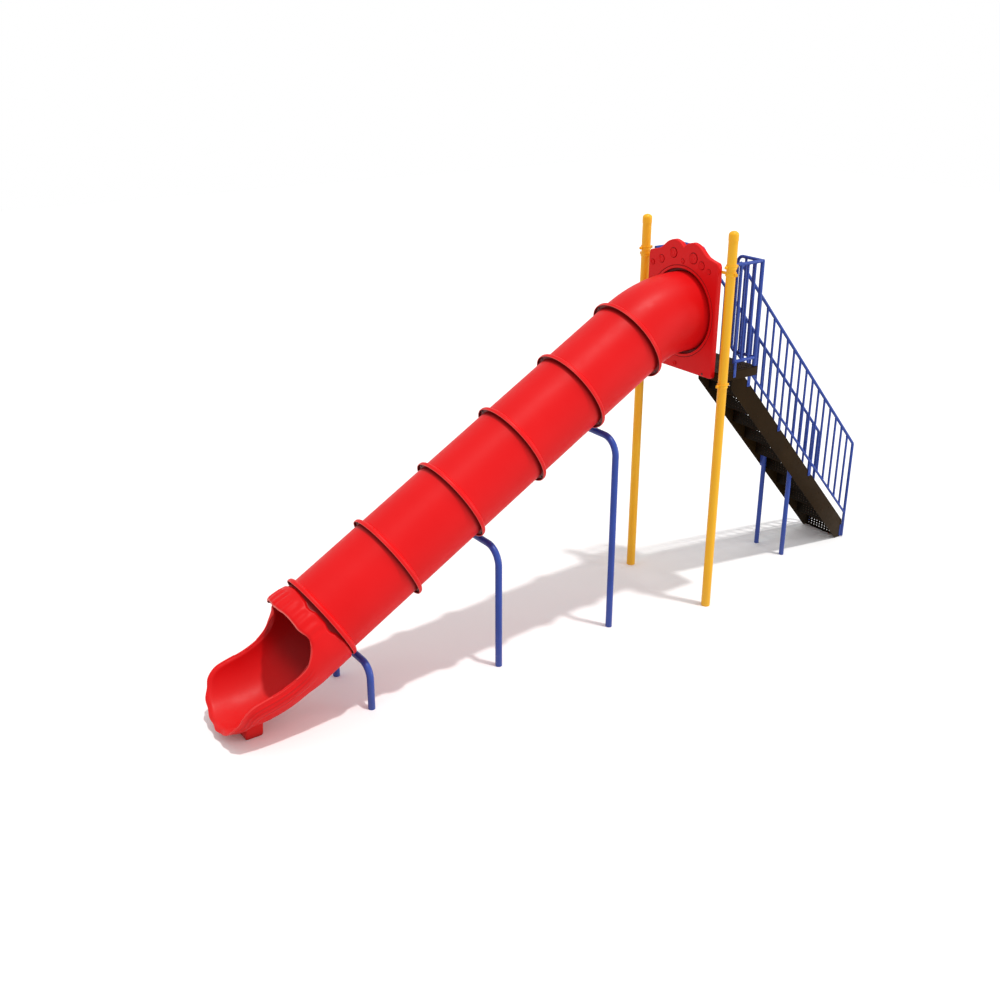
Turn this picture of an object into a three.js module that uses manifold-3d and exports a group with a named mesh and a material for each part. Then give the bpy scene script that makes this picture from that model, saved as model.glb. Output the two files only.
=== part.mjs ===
// A free-standing sectional tube slide: a moulded tube in bolted sections runs down from an entry
// panel between two posts, a steel deck stands behind the panel, and a stair with handrails climbs
// to it. Millimetres, +Z up. The stair lies towards +X, the exit towards -X, the near side is -Y.
// While it is built, X = 0 is the plane of the two posts; the last lines move the part so that the
// origin is under the middle of its length.
import * as THREE from "three";
import { mergeVertices } from "three/addons/utils/BufferGeometryUtils.js";
import { ParametricGeometry } from "three/addons/geometries/ParametricGeometry.js";
import Module from "manifold-3d";

const wasm = await Module();
wasm.setup();

// Fits and fineness
const seatGap = 0.3; // left between two pieces that touch
const cutOverrun = 60; // how far a cutter runs past what it cuts
const mergeReach = 0.004; // vertices closer than this are one vertex
const sliverReach = 0.05; // triangles thinner than this are dropped
const tubeSides = 32;
const pipeSides = 14;
const railSides = 10;
const barSides = 8;
const bendSteps = 6;

// Deck, the height that the rest hangs on
const deckHeight = 2438;
const deckRear = 490;
const deckHalfWidth = 556;
const deckSkirt = 86;
const deckSheet = 4;

// Posts and their caps
const postSpread = 1168;
const postRise = 1342; // above the deck
const postRadius = 44.45;
const postWall = 3.2;
const postSides = 24;
const capSkirt = 52;
const capWall = 2.5;
const capCrown = 36;
// The dome's profile: shares of the cap's radius and of the crown's height down from its top
const capDomeShares = [
  [1, 0.9],
  [0.9, 0.48],
  [0.66, 0.16],
  [0.34, 0.03],
];

// Clamps round the posts
const clampWall = 7;
const clampHeight = 34;
const clampEarReach = 30;
const clampEarThick = 13;
const guardClampRise = 1017; // above the deck
const panelClampRise = 952;
const deckClampDrop = 18; // below the deck's skirt

// Tube
const tubeRadius = 380;
const tubeWall = 8;
const entrySill = 122; // from the deck up to the underside of the tube
const sectionLength = 762;
const sectionCount = 5;
const flangeReach = 30;
const flangeThick = 10;
const bellReach = 43;
const bellLip = 10;
const bellLength = 56; // from its root to its lip
const bellOverhang = 31; // from the joint's face to its lip
// The bell's profile from its root: shares of its reach outwards and of its length
const bellShares = [
  [0, 0],
  [0.3, 0.07],
  [0.64, 0.2],
  [0.9, 0.38],
  [1, 0.56],
];
const elbowBendRadius = 1103;
const elbowBendSteps = 7;
const elbowLead = 83; // level length in front of the post plane
const elbowTail = 60; // straight length above the first joint
const elbowFlangeReach = 52;

// Entry panel, as half an outline: shares of its half width and of its height above its lower edge
const panelHalfWidth = 473;
const panelThick = 56;
const panelFront = -53;
const panelDrop = 64; // below the deck's top
const panelHeight = 1234;
const panelEdge = 9;
const panelHoleGap = 5;
const panelRingReach = 44;
const panelRingRise = 7;
const panelRingDepth = 14; // from its face to its seat inside the panel
const panelTopShares = [
  [0.0, 0.953],
  [0.077, 0.979],
  [0.156, 0.992],
  [0.262, 1.0],
  [0.35, 0.994],
  [0.447, 0.979],
  [0.53, 0.957],
  [0.6, 0.935],
  [0.68, 0.914],
  [0.79, 0.9],
  [0.89, 0.891],
  [0.955, 0.884],
  [0.99, 0.866],
  [1.0, 0.845],
];
const panelCornerShare = 0.06;
const panelCornerRoundShare = 0.3;
// Raised rounds on the panel: across, up, and their radius as a share of the half width
const panelRoundShares = [
  [0.88, 0.79, 0.062],
  [0.62, 0.83, 0.086],
  [0.325, 0.877, 0.105],
  [0.05, 0.862, 0.052],
  [-0.245, 0.902, 0.105],
  [-0.515, 0.848, 0.086],
  [-0.735, 0.812, 0.056],
  [0.06, 0.037, 0.052],
];
const panelRoundRise = 3.5;
const panelRoundSides = 12;
const panelBoltShare = 0.755; // of the half width, out from the middle
const panelBoltRise = 26; // above the panel's lower edge

// Exit section: its axis leaves the last joint at the tube's slope and bends level.
const exitLead = 525;
const exitBendRadius = 723;
const exitRun = 220;
const exitSwell = 25; // the exit's skin outside the tube's
const exitBulge = 17; // and a little more round the hood
const exitInset = 6; // the trough's inner face inside the tube's bore
const exitClearance = 80.5; // from the ground up to the underside of the exit's level run
const exitStep = 40; // length over which the trough swells behind the flange
const hoodStep = 190;
const hoodWall = 10;
const hoodLength = 256;
const hoodWave = 12;
const hoodWaves = 7;
const hoodRipple = 7;
const hoodEdgeDegrees = [0, 13, 26, 38, 51, 61, 69];
const hoodFadeShares = [0.2, 0.5]; // cosines round from the top between which the hood fades out
const exitBulgeStart = 370; // where the bulge begins to fade
const exitBulgeEnd = 570;
const rimRadius = 14;
const rimPlace = 0.4; // of the way from the trough's inner face to its outer face
const hoodRimRadius = 7;
const rimSink = 3; // the bead's centre below the cut edge
const rimSides = 8;
const rimTwist = 0.37; // of one side, so that no edge of the bead lies in the cut
// The opening's edge below the hood: length along the axis as a share of the exit's whole length,
// then degrees round from the top
const exitRimShares = [
  [0.252, 75],
  [0.293, 81.5],
  [0.361, 88.5],
  [0.439, 91.5],
  [0.523, 92],
  [0.603, 92],
  [0.7055, 92],
  [0.786, 95],
  [0.848, 99.5],
  [0.9, 108],
  [0.938, 121],
  [0.962, 132],
  [0.978, 144],
  [0.991, 161],
  [1.0, 180],
];
// Where the skin has a ring of points, up to just past the lip
const exitStationShares = [
  0, 0.035, 0.065, 0.11, 0.16, 0.215, 0.265, 0.35, 0.42, 0.466, 0.55, 0.635, 0.72, 0.805, 0.9, 1.04,
];
const exitFootFrontShare = 0.835;
const exitFootRearShare = 0.695;
const exitFootHalfWidth = 200;
const exitFootTaperShare = 0.86;
const exitFootGap = 0.9; // between the facets of the foot and of the belly

// Slide supports
const supportPipeRadius = 31.75;
const supportReach = 366; // leg centre out from the slide's middle
const supportBend = 170;
const supportTongue = 30; // arm end past the slide's middle
const lowerSupportReach = 332;
const lowerSupportBend = 130;
const saddleStrap = 8;
const saddleWidth = 50;
const saddleFacets = 4; // of the tube's sides, that the strap wraps
const saddleWebShare = 0.55; // the web's lower edge, as a share of its width at the strap
const saddleDrop = 30; // web below the strap, at the middle

// Stair
const stairSteps = 11;
const stairPitch = 1.12; // rise over run
const stringerHalfSpread = 237; // to the outer faces
const stringerThick = 6;
const stringerDepth = 306; // measured straight down
const stringerTopDrop = 18; // upper edge below the deck's top, at the deck's rear edge
const stringerHeel = 210; // height of the square-cut lower end
const treadSheet = 3;
const treadNosing = 32;
const treadOverlap = 25;
const treadSetback = 20;
const stairLegRadius = 25.4;
const stairLegInset = 17.6; // from the stringer's inner face to the leg
const stairLegShare = 0.533; // of the run between the deck and the lower end
const stairLegOverlap = 160; // above the stringer's lower edge
const legTabWidth = 60;
const legTabThick = 6;

// Handrails
const railRadius = 16;
const lowerRailRadius = 13;
const barRadius = 12.5;
const railOut = 8; // rail axis outside the stringer's outer face
const topRailRise = 947; // above the stringer's upper edge, straight up
const lowRailRise = 107;
const railBend = 48;
const railBendSteps = 3;
const railBars = 17;
const footTabPlaces = [6, 11, 15.6]; // counted in bars from the foot of the stair
const railFootLift = 12;
const footTabWidth = 44;
const footTabThick = 6;
const footTabDrop = 46;
const heelPlateWidth = 40;
const heelPlateHeight = 150;

// Guards round the deck
const guardOut = 536; // side guard's plane
const guardPlane = 456; // return guard's plane
const guardTop = 1015; // top rail above the deck
const guardGap = 88; // lower rail above the deck
const cornerPostRadius = 20;
const guardRailRadius = 16;
const guardStart = 178;
const guardBarCount = 2;
const returnInner = 223;
const returnBarCount = 2;
const returnBend = 62;
const returnBendSteps = 4;
const guardTabDrop = 62;

// Bolts
const boltHeadRadius = 11;
const boltHeadThick = 8;
const boltSides = 6;

const steelBlue = { color: 0x2b3f9e, roughness: 0.38, metalness: 0.1 };
const steelYellow = { color: 0xfcae1e, roughness: 0.38, metalness: 0.05 };
const steelBrown = { color: 0x33251a, roughness: 0.6, metalness: 0.05 };
const mouldedRed = { color: 0xe3171b, roughness: 0.42, metalness: 0 };
const zincSteel = { color: 0x9fa3a8, roughness: 0.4, metalness: 0.9 };

const model = new THREE.Group();

const vector = (x, y, z) => new THREE.Vector3(x, y, z);
const along = new THREE.Vector3(0, 1, 0);

function add(name, geometry, finish, parent = model) {
  const mesh = new THREE.Mesh(geometry, new THREE.MeshStandardMaterial(finish));
  mesh.name = name;
  parent.add(mesh);
  return mesh;
}

// A closed geometry as a solid that can be joined and cut
function asSolid(geometry) {
  const bare = geometry.clone();
  bare.deleteAttribute("normal");
  bare.deleteAttribute("uv");
  const merged = mergeVertices(bare, mergeReach);
  const mesh = new wasm.Mesh({
    numProp: 3,
    vertProperties: merged.attributes.position.array,
    triVerts: new Uint32Array(merged.index.array),
  });
  return new wasm.Manifold(mesh);
}

function asGeometry(solid) {
  const mesh = solid.asOriginal().simplify(sliverReach).getMesh();
  const geometry = new THREE.BufferGeometry();
  geometry.setAttribute("position", new THREE.BufferAttribute(mesh.vertProperties, 3));
  geometry.setIndex(new THREE.BufferAttribute(mesh.triVerts, 1));
  geometry.computeVertexNormals();
  return geometry;
}

const joined = (geometries) => geometries.map(asSolid).reduce((whole, piece) => whole.add(piece));

// The largest of a solid's bodies, which drops the slivers that a join can leave
const mainBody = (solid) => solid.decompose().sort((a, b) => b.volume() - a.volume())[0];

function rod(from, to, radius, sides) {
  const span = to.clone().sub(from);
  const geometry = new THREE.CylinderGeometry(radius, radius, span.length(), sides);
  geometry.applyQuaternion(new THREE.Quaternion().setFromUnitVectors(along, span.clone().normalize()));
  const middle = from.clone().lerp(to, 0.5);
  return geometry.translate(middle.x, middle.y, middle.z);
}

function block(low, high) {
  const size = high.clone().sub(low);
  const middle = low.clone().lerp(high, 0.5);
  return new THREE.BoxGeometry(size.x, size.y, size.z).translate(middle.x, middle.y, middle.z);
}

// A flat plate whose outline lies in the XZ plane, from nearY to farY
function uprightPlate(points, nearY, farY) {
  const shape = new THREE.Shape(points.map(([x, z]) => new THREE.Vector2(x, z)));
  const plate = new THREE.ExtrudeGeometry(shape, { depth: farY - nearY, bevelEnabled: false });
  return plate.rotateX(Math.PI / 2).translate(0, farY, 0);
}

// Stands a shape drawn in Y and Z across the X axis
function facingX(geometry, x) {
  const turn = new THREE.Matrix4().makeBasis(vector(0, 1, 0), vector(0, 0, 1), vector(1, 0, 0));
  return geometry.applyMatrix4(turn).translate(x, 0, 0);
}

function roundShape(radius, sides) {
  const points = [];
  for (let i = 0; i < sides; i++) {
    const angle = (2 * Math.PI * i) / sides;
    points.push(new THREE.Vector2(radius * Math.cos(angle), radius * Math.sin(angle)));
  }
  return new THREE.Shape(points);
}

// A path through chosen stations, each a point and the direction there
class StationPath extends THREE.Curve {
  constructor(stations) {
    super();
    this.stations = stations;
    this.steps = stations.length - 1;
  }
  getPoint(t, target = new THREE.Vector3()) {
    return target.copy(this.stations[Math.round(t * this.steps)].point);
  }
  getPointAt(u, target) {
    return this.getPoint(u, target);
  }
  getTangentAt(u, target = new THREE.Vector3()) {
    return target.copy(this.stations[Math.round(u * this.steps)].direction);
  }
}

// Straight runs between the corners, each corner rounded to the bend radius
function bentPath(corners, bendRadius, steps = bendSteps) {
  const heading = (i) => corners[i + 1].clone().sub(corners[i]).normalize();
  const stations = [{ point: corners[0], direction: heading(0) }];
  for (let i = 1; i < corners.length - 1; i++) {
    const before = heading(i - 1);
    const after = heading(i);
    const turn = before.angleTo(after);
    const inward = after.clone().addScaledVector(before, -after.dot(before)).normalize();
    const start = corners[i].clone().addScaledVector(before, -bendRadius * Math.tan(turn / 2));
    for (let k = 0; k <= steps; k++) {
      const angle = (turn * k) / steps;
      const point = start.clone().addScaledVector(before, bendRadius * Math.sin(angle));
      point.addScaledVector(inward, bendRadius * (1 - Math.cos(angle)));
      const direction = before.clone().multiplyScalar(Math.cos(angle));
      direction.addScaledVector(inward, Math.sin(angle));
      stations.push({ point, direction });
    }
  }
  stations.push({ point: corners.at(-1), direction: heading(corners.length - 2) });
  return new StationPath(stations);
}

function pipe(path, radius, sides) {
  return new THREE.ExtrudeGeometry(roundShape(radius, sides), { steps: path.steps, extrudePath: path });
}

// A ring turned about Y from a closed profile of radius and height
function turned(profile, sides) {
  const closed = [...profile, profile[0]];
  return new THREE.LatheGeometry(closed.map(([radius, height]) => new THREE.Vector2(radius, height)), sides);
}

function boltHead(from, to) {
  return rod(from, to, boltHeadRadius, boltSides);
}

const sides = [
  ["near", -1],
  ["far", 1],
];

// The tube's axis: level through the panel, one bend, then straight down through every joint, and
// level again at the exit. Its slope is the one that brings the exit down to its clearance.
const postHeight = deckHeight + postRise;
const entryHeight = deckHeight + entrySill + tubeRadius;
const axisDrop = entryHeight - exitClearance - exitSwell - tubeRadius;
const slopedRuns = elbowTail + sectionLength * sectionCount + exitLead;
const bendRadii = elbowBendRadius + exitBendRadius;
const chordSlope = Math.asin((axisDrop - bendRadii) / Math.hypot(slopedRuns, bendRadii));
const tubeSlope = chordSlope + Math.atan2(bendRadii, slopedRuns);
const downhill = vector(-Math.cos(tubeSlope), 0, -Math.sin(tubeSlope));
const underside = vector(Math.sin(tubeSlope), 0, -Math.cos(tubeSlope));
const elbowKneeReach = elbowBendRadius * Math.tan(tubeSlope / 2);
const elbowKnee = vector(-elbowLead - elbowKneeReach, 0, entryHeight);
const firstJoint = elbowKnee.clone().addScaledVector(downhill, elbowKneeReach + elbowTail);
const jointAt = (index) => firstJoint.clone().addScaledVector(downhill, sectionLength * index);
const boreRadius = tubeRadius - tubeWall;
const upperSide = underside.clone().negate();
const slopeBasis = new THREE.Matrix4().makeBasis(vector(0, 1, 0), downhill, upperSide);
const downhillTurn = new THREE.Quaternion().setFromRotationMatrix(slopeBasis);

// The bell at a piece's lower end, as profile points from its root to the joint face
function bellProfile(jointLevel) {
  const root = jointLevel + bellOverhang - bellLength;
  const swell = bellShares.map(([out, down]) => [tubeRadius + bellReach * out, root + bellLength * down]);
  return [
    ...swell,
    [tubeRadius + bellReach, jointLevel + bellOverhang],
    [tubeRadius + bellReach - bellLip, jointLevel + bellOverhang],
    [tubeRadius + bellReach - bellLip, jointLevel],
  ];
}

function tubeSection() {
  const lower = sectionLength - seatGap;
  const profile = [
    [boreRadius, 0],
    [tubeRadius + flangeReach, 0],
    [tubeRadius + flangeReach, flangeThick],
    [tubeRadius, flangeThick],
    ...bellProfile(lower),
    [boreRadius, lower],
  ];
  return turned(profile, tubeSides);
}

function placeOnSlope(geometry, origin) {
  return geometry.applyQuaternion(downhillTurn).translate(origin.x, origin.y, origin.z);
}

function elbow() {
  const back = panelFront + panelThick + seatGap;
  const rear = vector(back + flangeThick, 0, entryHeight);
  const axis = bentPath([rear, elbowKnee, firstJoint], elbowBendRadius, elbowBendSteps);
  const body = pipe(axis, tubeRadius, tubeSides);
  const midWall = tubeRadius - tubeWall / 2;
  const bell = turned([[midWall, bellOverhang - bellLength], ...bellProfile(0), [midWall, 0]], tubeSides);
  placeOnSlope(bell, firstJoint);
  const collarOuter = tubeRadius + elbowFlangeReach;
  const collarProfile = [
    [midWall, 0],
    [collarOuter, 0],
    [collarOuter, flangeThick],
    [midWall, flangeThick],
  ];
  const collar = turned(collarProfile, tubeSides).rotateZ(-Math.PI / 2).translate(back, 0, entryHeight);
  const boreStart = rear.clone().add(vector(cutOverrun, 0, 0));
  const boreEnd = firstJoint.clone().addScaledVector(downhill, cutOverrun);
  const boreAxis = bentPath([boreStart, elbowKnee, boreEnd], elbowBendRadius, elbowBendSteps);
  const bore = pipe(boreAxis, boreRadius, tubeSides);
  return asGeometry(joined([body, bell, collar]).subtract(asSolid(bore)));
}

function entryPanel() {
  const low = deckHeight - panelDrop;
  const corner = panelHalfWidth * panelCornerShare;
  const cornerRound = corner * panelCornerRoundShare;
  const half = panelTopShares.map(([across, up]) => [across * panelHalfWidth, up * panelHeight]);
  const side = [
    [panelHalfWidth, corner],
    [panelHalfWidth - cornerRound, cornerRound],
    [panelHalfWidth - corner, 0],
  ];
  const right = [...half, ...side];
  const left = right.slice(1).reverse().map(([across, up]) => [-across, up]);
  const inset = (value) => value - Math.sign(value) * panelEdge;
  const outline = [...right, ...left].map(([across, up]) => {
    const height = up < panelHeight / 2 ? up + panelEdge : up - panelEdge;
    return new THREE.Vector2(inset(across), low + height);
  });
  const sheet = new THREE.ExtrudeGeometry(new THREE.Shape(outline), {
    depth: panelThick - 2 * panelEdge,
    bevelThickness: panelEdge,
    bevelSize: panelEdge,
    bevelSegments: 2,
  });
  facingX(sheet, panelFront + panelEdge);
  const holeRadius = tubeRadius + panelHoleGap;
  const ringProfile = [
    [holeRadius - panelRingRise, 0],
    [holeRadius + panelRingReach, 0],
    [holeRadius + panelRingReach - panelRingRise, panelRingDepth],
    [holeRadius - panelRingRise, panelRingDepth],
  ];
  const ring = turned(ringProfile, tubeSides).rotateZ(Math.PI / 2);
  ring.translate(panelFront + panelRingRise, 0, entryHeight);
  const rounds = panelRoundShares.map(([across, up, reach]) => {
    const radius = reach * panelHalfWidth;
    const y = across * panelHalfWidth;
    const z = low + up * panelHeight;
    const back = vector(panelFront + panelEdge, y, z);
    return rod(back, vector(panelFront - panelRoundRise, y, z), radius, panelRoundSides);
  });
  const holeFrom = vector(panelFront - cutOverrun, 0, entryHeight);
  const holeTo = vector(panelFront + panelThick + cutOverrun, 0, entryHeight);
  const hole = asSolid(rod(holeFrom, holeTo, holeRadius, tubeSides));
  return asGeometry(joined([sheet, ring, ...rounds]).subtract(hole));
}

function panelBolt(side) {
  const y = side * panelHalfWidth * panelBoltShare;
  const z = deckHeight - panelDrop + panelBoltRise;
  const seat = panelFront - seatGap;
  return boltHead(vector(seat, y, z), vector(seat - boltHeadThick, y, z));
}

// Exit section: a point on a skin at a length along the bending axis and an angle round it from the top
const exitArc = exitBendRadius * tubeSlope;
const exitLength = exitLead + exitArc + exitRun;
const lastJoint = jointAt(sectionCount);

function exitAxis(length) {
  const sloped = Math.min(length, exitLead);
  const point = lastJoint.clone().addScaledVector(downhill, sloped);
  const turnedBy = Math.min(Math.max((length - exitLead) / exitBendRadius, 0), tubeSlope);
  const slope = tubeSlope - turnedBy;
  point.x -= exitBendRadius * (Math.sin(tubeSlope) - Math.sin(slope));
  point.z -= exitBendRadius * (Math.cos(slope) - Math.cos(tubeSlope));
  point.x -= Math.max(length - exitLead - exitArc, 0);
  return { point, up: vector(-Math.sin(slope), 0, Math.cos(slope)) };
}

const smooth = (from, to, value) => THREE.MathUtils.smoothstep(value, from, to);

// The exit's outer and inner radius: a rippled hood on top with a thin wall, a thick-walled trough below
function exitRadii(length, angle) {
  const hood = smooth(...hoodFadeShares, Math.cos(angle));
  const step = THREE.MathUtils.lerp(exitStep, hoodStep, hood);
  const swell = smooth(flangeThick, flangeThick + step, length) * exitSwell;
  const fade = 1 - smooth(exitBulgeStart, exitBulgeEnd, length);
  const bulge = smooth(0, step, length) * fade * exitBulge;
  const ripple = smooth(0, exitStep, length) * hood * hoodRipple * Math.cos(hoodWaves * angle);
  const outer = tubeRadius + swell + bulge + ripple;
  const inner = THREE.MathUtils.lerp(boreRadius - exitInset, outer - hoodWall, hood);
  return { outer, inner };
}

function exitPoint(length, angle, radius, target = new THREE.Vector3()) {
  const { point, up } = exitAxis(length);
  target.copy(point).addScaledVector(up, radius * Math.cos(angle));
  target.y -= radius * Math.sin(angle);
  return target;
}

// A closed skin over the exit's length, its outer and inner radius chosen at each length and angle
function exitSkin(radiiAt) {
  const stations = exitStationShares.map((share) => share * exitLength);
  const outward = stations.map((length) => [length, "outer"]);
  const inward = stations.map((length) => [length, "inner"]).reverse();
  const loop = [...outward, ...inward];
  const skin = (u, v, target) => {
    const [length, face] = loop[Math.round(u * loop.length) % loop.length];
    const angle = 2 * Math.PI * v;
    exitPoint(length, angle, radiiAt(length, angle)[face], target);
  };
  return asSolid(new ParametricGeometry(skin, loop.length, tubeSides));
}

// The opening's edge in the middle of the wall, from the hood down the near side to the middle of the lip
function exitEdge() {
  const edge = hoodEdgeDegrees.map((degrees) => {
    const angle = THREE.MathUtils.degToRad(degrees);
    return { length: hoodLength + hoodWave * Math.cos(hoodWaves * angle), angle, radius: hoodRimRadius };
  });
  for (const [share, degrees] of exitRimShares) {
    edge.push({ length: share * exitLength, angle: THREE.MathUtils.degToRad(degrees), radius: rimRadius });
  }
  return edge.map(({ length, angle, radius }) => {
    const { outer, inner } = exitRadii(length, angle);
    const point = exitPoint(length, angle, THREE.MathUtils.lerp(inner, outer, rimPlace));
    const outward = exitPoint(length, angle, outer).sub(point).normalize();
    return { point, outward, radius };
  });
}

// A rounded bead all round the opening
function rimBead(edge) {
  const flip = vector(1, -1, 1);
  const mirrored = edge.slice(1, -1).reverse().map(({ point, outward, radius }) => ({
    point: point.clone().multiply(flip),
    outward: outward.clone().multiply(flip),
    radius,
  }));
  const ring = [...edge, ...mirrored];
  const at = (i) => ring[(i + ring.length) % ring.length];
  const bead = (u, v, target) => {
    const i = Math.round(u * ring.length);
    const { point, outward, radius } = at(i);
    const forward = at(i + 1).point.clone().sub(at(i - 1).point).normalize();
    const across = outward.clone().addScaledVector(forward, -outward.dot(forward)).normalize();
    const aside = forward.clone().cross(across);
    const turn = (2 * Math.PI * (rimTwist - v * rimSides)) / rimSides;
    target.copy(point).addScaledVector(across, radius * Math.cos(turn));
    target.addScaledVector(aside, radius * Math.sin(turn) - rimSink);
  };
  return asSolid(new ParametricGeometry(bead, ring.length, rimSides));
}

function exitSection() {
  const edge = exitEdge();
  const top = edge[0].point;
  const front = edge.at(-1).point;
  const far = front.x - exitLength;
  const high = top.z + exitLength;
  const rim = edge.map(({ point }) => [point.x, point.z]);
  const outline = [...rim, [front.x, 0], [far, 0], [far, high], [top.x, high]];
  const reach = tubeRadius + exitSwell + exitBulge + cutOverrun;
  const opening = asSolid(uprightPlate(outline, -reach, reach));
  const midWall = tubeRadius - tubeWall / 2;
  const flangeProfile = [
    [midWall, 0],
    [tubeRadius + flangeReach, 0],
    [tubeRadius + flangeReach, flangeThick],
    [midWall, flangeThick],
  ];
  const flange = asSolid(placeOnSlope(turned(flangeProfile, tubeSides), lastJoint));
  const whole = mainBody(exitSkin(exitRadii).subtract(opening).add(rimBead(edge)).add(flange));
  const shift = downhill.clone().multiplyScalar(seatGap);
  return asGeometry(whole).translate(shift.x, 0, shift.z);
}

function exitFoot() {
  const front = exitAxis(exitLength * exitFootFrontShare).point;
  const rear = exitAxis(exitLength * exitFootRearShare).point;
  const top = rear.z - boreRadius / 2;
  const outline = [
    [front.x, 0],
    [rear.x, 0],
    [rear.x, top],
    [front.x, top],
  ];
  const foot = uprightPlate(outline, -exitFootHalfWidth, exitFootHalfWidth);
  const place = foot.attributes.position;
  for (let i = 0; i < place.count; i++) {
    if (place.getZ(i) < seatGap) place.setY(i, place.getY(i) * exitFootTaperShare);
  }
  const belly = exitSkin((length, angle) => {
    const { outer, inner } = exitRadii(length, angle);
    return { outer: outer + exitFootGap, inner: inner / 4 };
  });
  return asGeometry(asSolid(foot).subtract(belly));
}

function postTube() {
  const profile = [
    [postRadius - postWall, 0],
    [postRadius, 0],
    [postRadius, postHeight - capCrown - capWall],
    [postRadius - postWall, postHeight - capCrown - capWall],
  ];
  return turned(profile, postSides).rotateX(Math.PI / 2);
}

// A domed cap whose skirt slides over the top of its post
function postCap() {
  const inner = postRadius + seatGap;
  const outer = inner + capWall;
  const lip = postHeight - capCrown - capSkirt;
  const rest = postHeight - capCrown - capWall + seatGap;
  const profile = [
    [0, rest],
    [inner, rest],
    [inner, lip],
    [outer, lip],
    ...capDomeShares.map(([out, down]) => [outer * out, postHeight - capCrown * down]),
    [0, postHeight],
  ];
  const points = profile.map(([radius, height]) => new THREE.Vector2(radius, height));
  return new THREE.LatheGeometry(points, postSides).rotateX(Math.PI / 2);
}

// A clamp ring with one ear that reaches out along a heading in plan, and a plain ear opposite
function postClamp(heading, earReach) {
  const inner = postRadius + seatGap;
  const outer = inner + clampWall;
  const profile = [
    [inner, -clampHeight / 2],
    [outer, -clampHeight / 2],
    [outer, clampHeight / 2],
    [inner, clampHeight / 2],
  ];
  const ring = turned(profile, postSides).rotateX(Math.PI / 2);
  const earHalf = vector(0, clampEarThick / 2, clampHeight / 2 - clampWall / 2);
  const root = inner + clampWall / 2;
  const ear = block(vector(root, -earHalf.y, -earHalf.z), vector(outer + earReach, earHalf.y, earHalf.z));
  const otherLow = vector(-outer - clampEarReach, -earHalf.y, -earHalf.z);
  const other = block(otherLow, vector(-root, earHalf.y, earHalf.z));
  const bolts = [outer + clampEarReach / 2, -outer - clampEarReach / 2].map((x) => {
    const reach = earHalf.y + boltHeadThick;
    return boltHead(vector(x, -reach, 0), vector(x, reach, 0));
  });
  return asGeometry(joined([ring, ear, other, ...bolts])).rotateZ(heading);
}

function deckPan() {
  const notch = postSpread / 2 - postRadius - clampWall;
  const notchRear = postRadius + clampWall;
  const deckFront = panelFront + panelThick + seatGap;
  const outline = [
    [deckFront, -notch],
    [notchRear, -notch],
    [notchRear, -deckHalfWidth],
    [deckRear, -deckHalfWidth],
    [deckRear, deckHalfWidth],
    [notchRear, deckHalfWidth],
    [notchRear, notch],
    [deckFront, notch],
  ];
  const plan = (points) => new THREE.Shape(points.map(([x, y]) => new THREE.Vector2(x, y)));
  const body = new THREE.ExtrudeGeometry(plan(outline), { depth: deckSkirt, bevelEnabled: false });
  body.translate(0, 0, deckHeight - deckSkirt);
  const innerLow = vector(deckFront + deckSheet, -notch + deckSheet, deckHeight - deckSkirt - cutOverrun);
  const innerHigh = vector(deckRear - deckSheet, notch - deckSheet, deckHeight - deckSheet);
  return asGeometry(asSolid(body).subtract(asSolid(block(innerLow, innerHigh))));
}

// Stair: the stringers' upper edge as a height over X
const stringerFront = deckRear + seatGap;
const stringerTop = (x) => deckHeight - stringerTopDrop - (x - deckRear) * stairPitch;
const stringerRear = deckRear + (deckHeight - stringerTopDrop - stringerHeel) / stairPitch;
const stringerInner = stringerHalfSpread - stringerThick;

function stringer(side) {
  const toe = deckRear + (deckHeight - stringerTopDrop - stringerDepth) / stairPitch;
  const outline = [
    [stringerFront, stringerTop(stringerFront) - stringerDepth],
    [toe, 0],
    [stringerRear, 0],
    [stringerRear, stringerHeel],
    [stringerFront, stringerTop(stringerFront)],
  ];
  const faces = [side * stringerInner, side * stringerHalfSpread].sort((a, b) => a - b);
  return uprightPlate(outline, ...faces);
}

// One bent sheet: nosing, tread and the riser that stands at its back, up to the next tread
function treadSheetAt(index) {
  const rise = deckHeight / stairSteps;
  const top = rise * index;
  const nosing = deckRear + (deckHeight - top) / stairPitch - treadSetback;
  const run = rise / stairPitch;
  const back = Math.max(nosing - run - treadOverlap, stringerFront + treadSheet);
  const reachesDeck = index === stairSteps - 1;
  const riserTop = reachesDeck ? deckHeight - deckSkirt : top + rise - treadSheet - seatGap;
  const half = stringerInner - seatGap;
  const outline = [
    [nosing, top],
    [back + treadSheet, top],
    [back + treadSheet, riserTop],
    [back, riserTop],
    [back, top - treadSheet],
    [nosing - treadSheet, top - treadSheet],
    [nosing - treadSheet, top - treadNosing],
    [nosing, top - treadNosing],
  ];
  return uprightPlate(outline.reverse(), -half, half);
}

function bottomRiser() {
  const rise = deckHeight / stairSteps;
  const nosing = deckRear + (deckHeight - rise) / stairPitch - treadSetback;
  const front = nosing - treadOverlap;
  const half = stringerInner - seatGap;
  return block(vector(front - treadSheet, -half, 0), vector(front, half, rise - treadSheet - seatGap));
}

function stairLeg(side) {
  const x = deckRear + (stringerRear - deckRear) * stairLegShare;
  const top = stringerTop(x) - stringerDepth + stairLegOverlap;
  const y = side * (stringerInner - stairLegInset - stairLegRadius);
  const leg = rod(vector(x, y, 0), vector(x, y, top), stairLegRadius, pipeSides);
  const face = side * (stringerInner - seatGap);
  const inside = y + side * (stairLegRadius - legTabThick);
  const low = vector(x - legTabWidth / 2, Math.min(face, inside), top - stairLegOverlap);
  const high = vector(x + legTabWidth / 2, Math.max(face, inside), top - legTabThick);
  return asGeometry(joined([leg, block(low, high)]));
}

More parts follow.
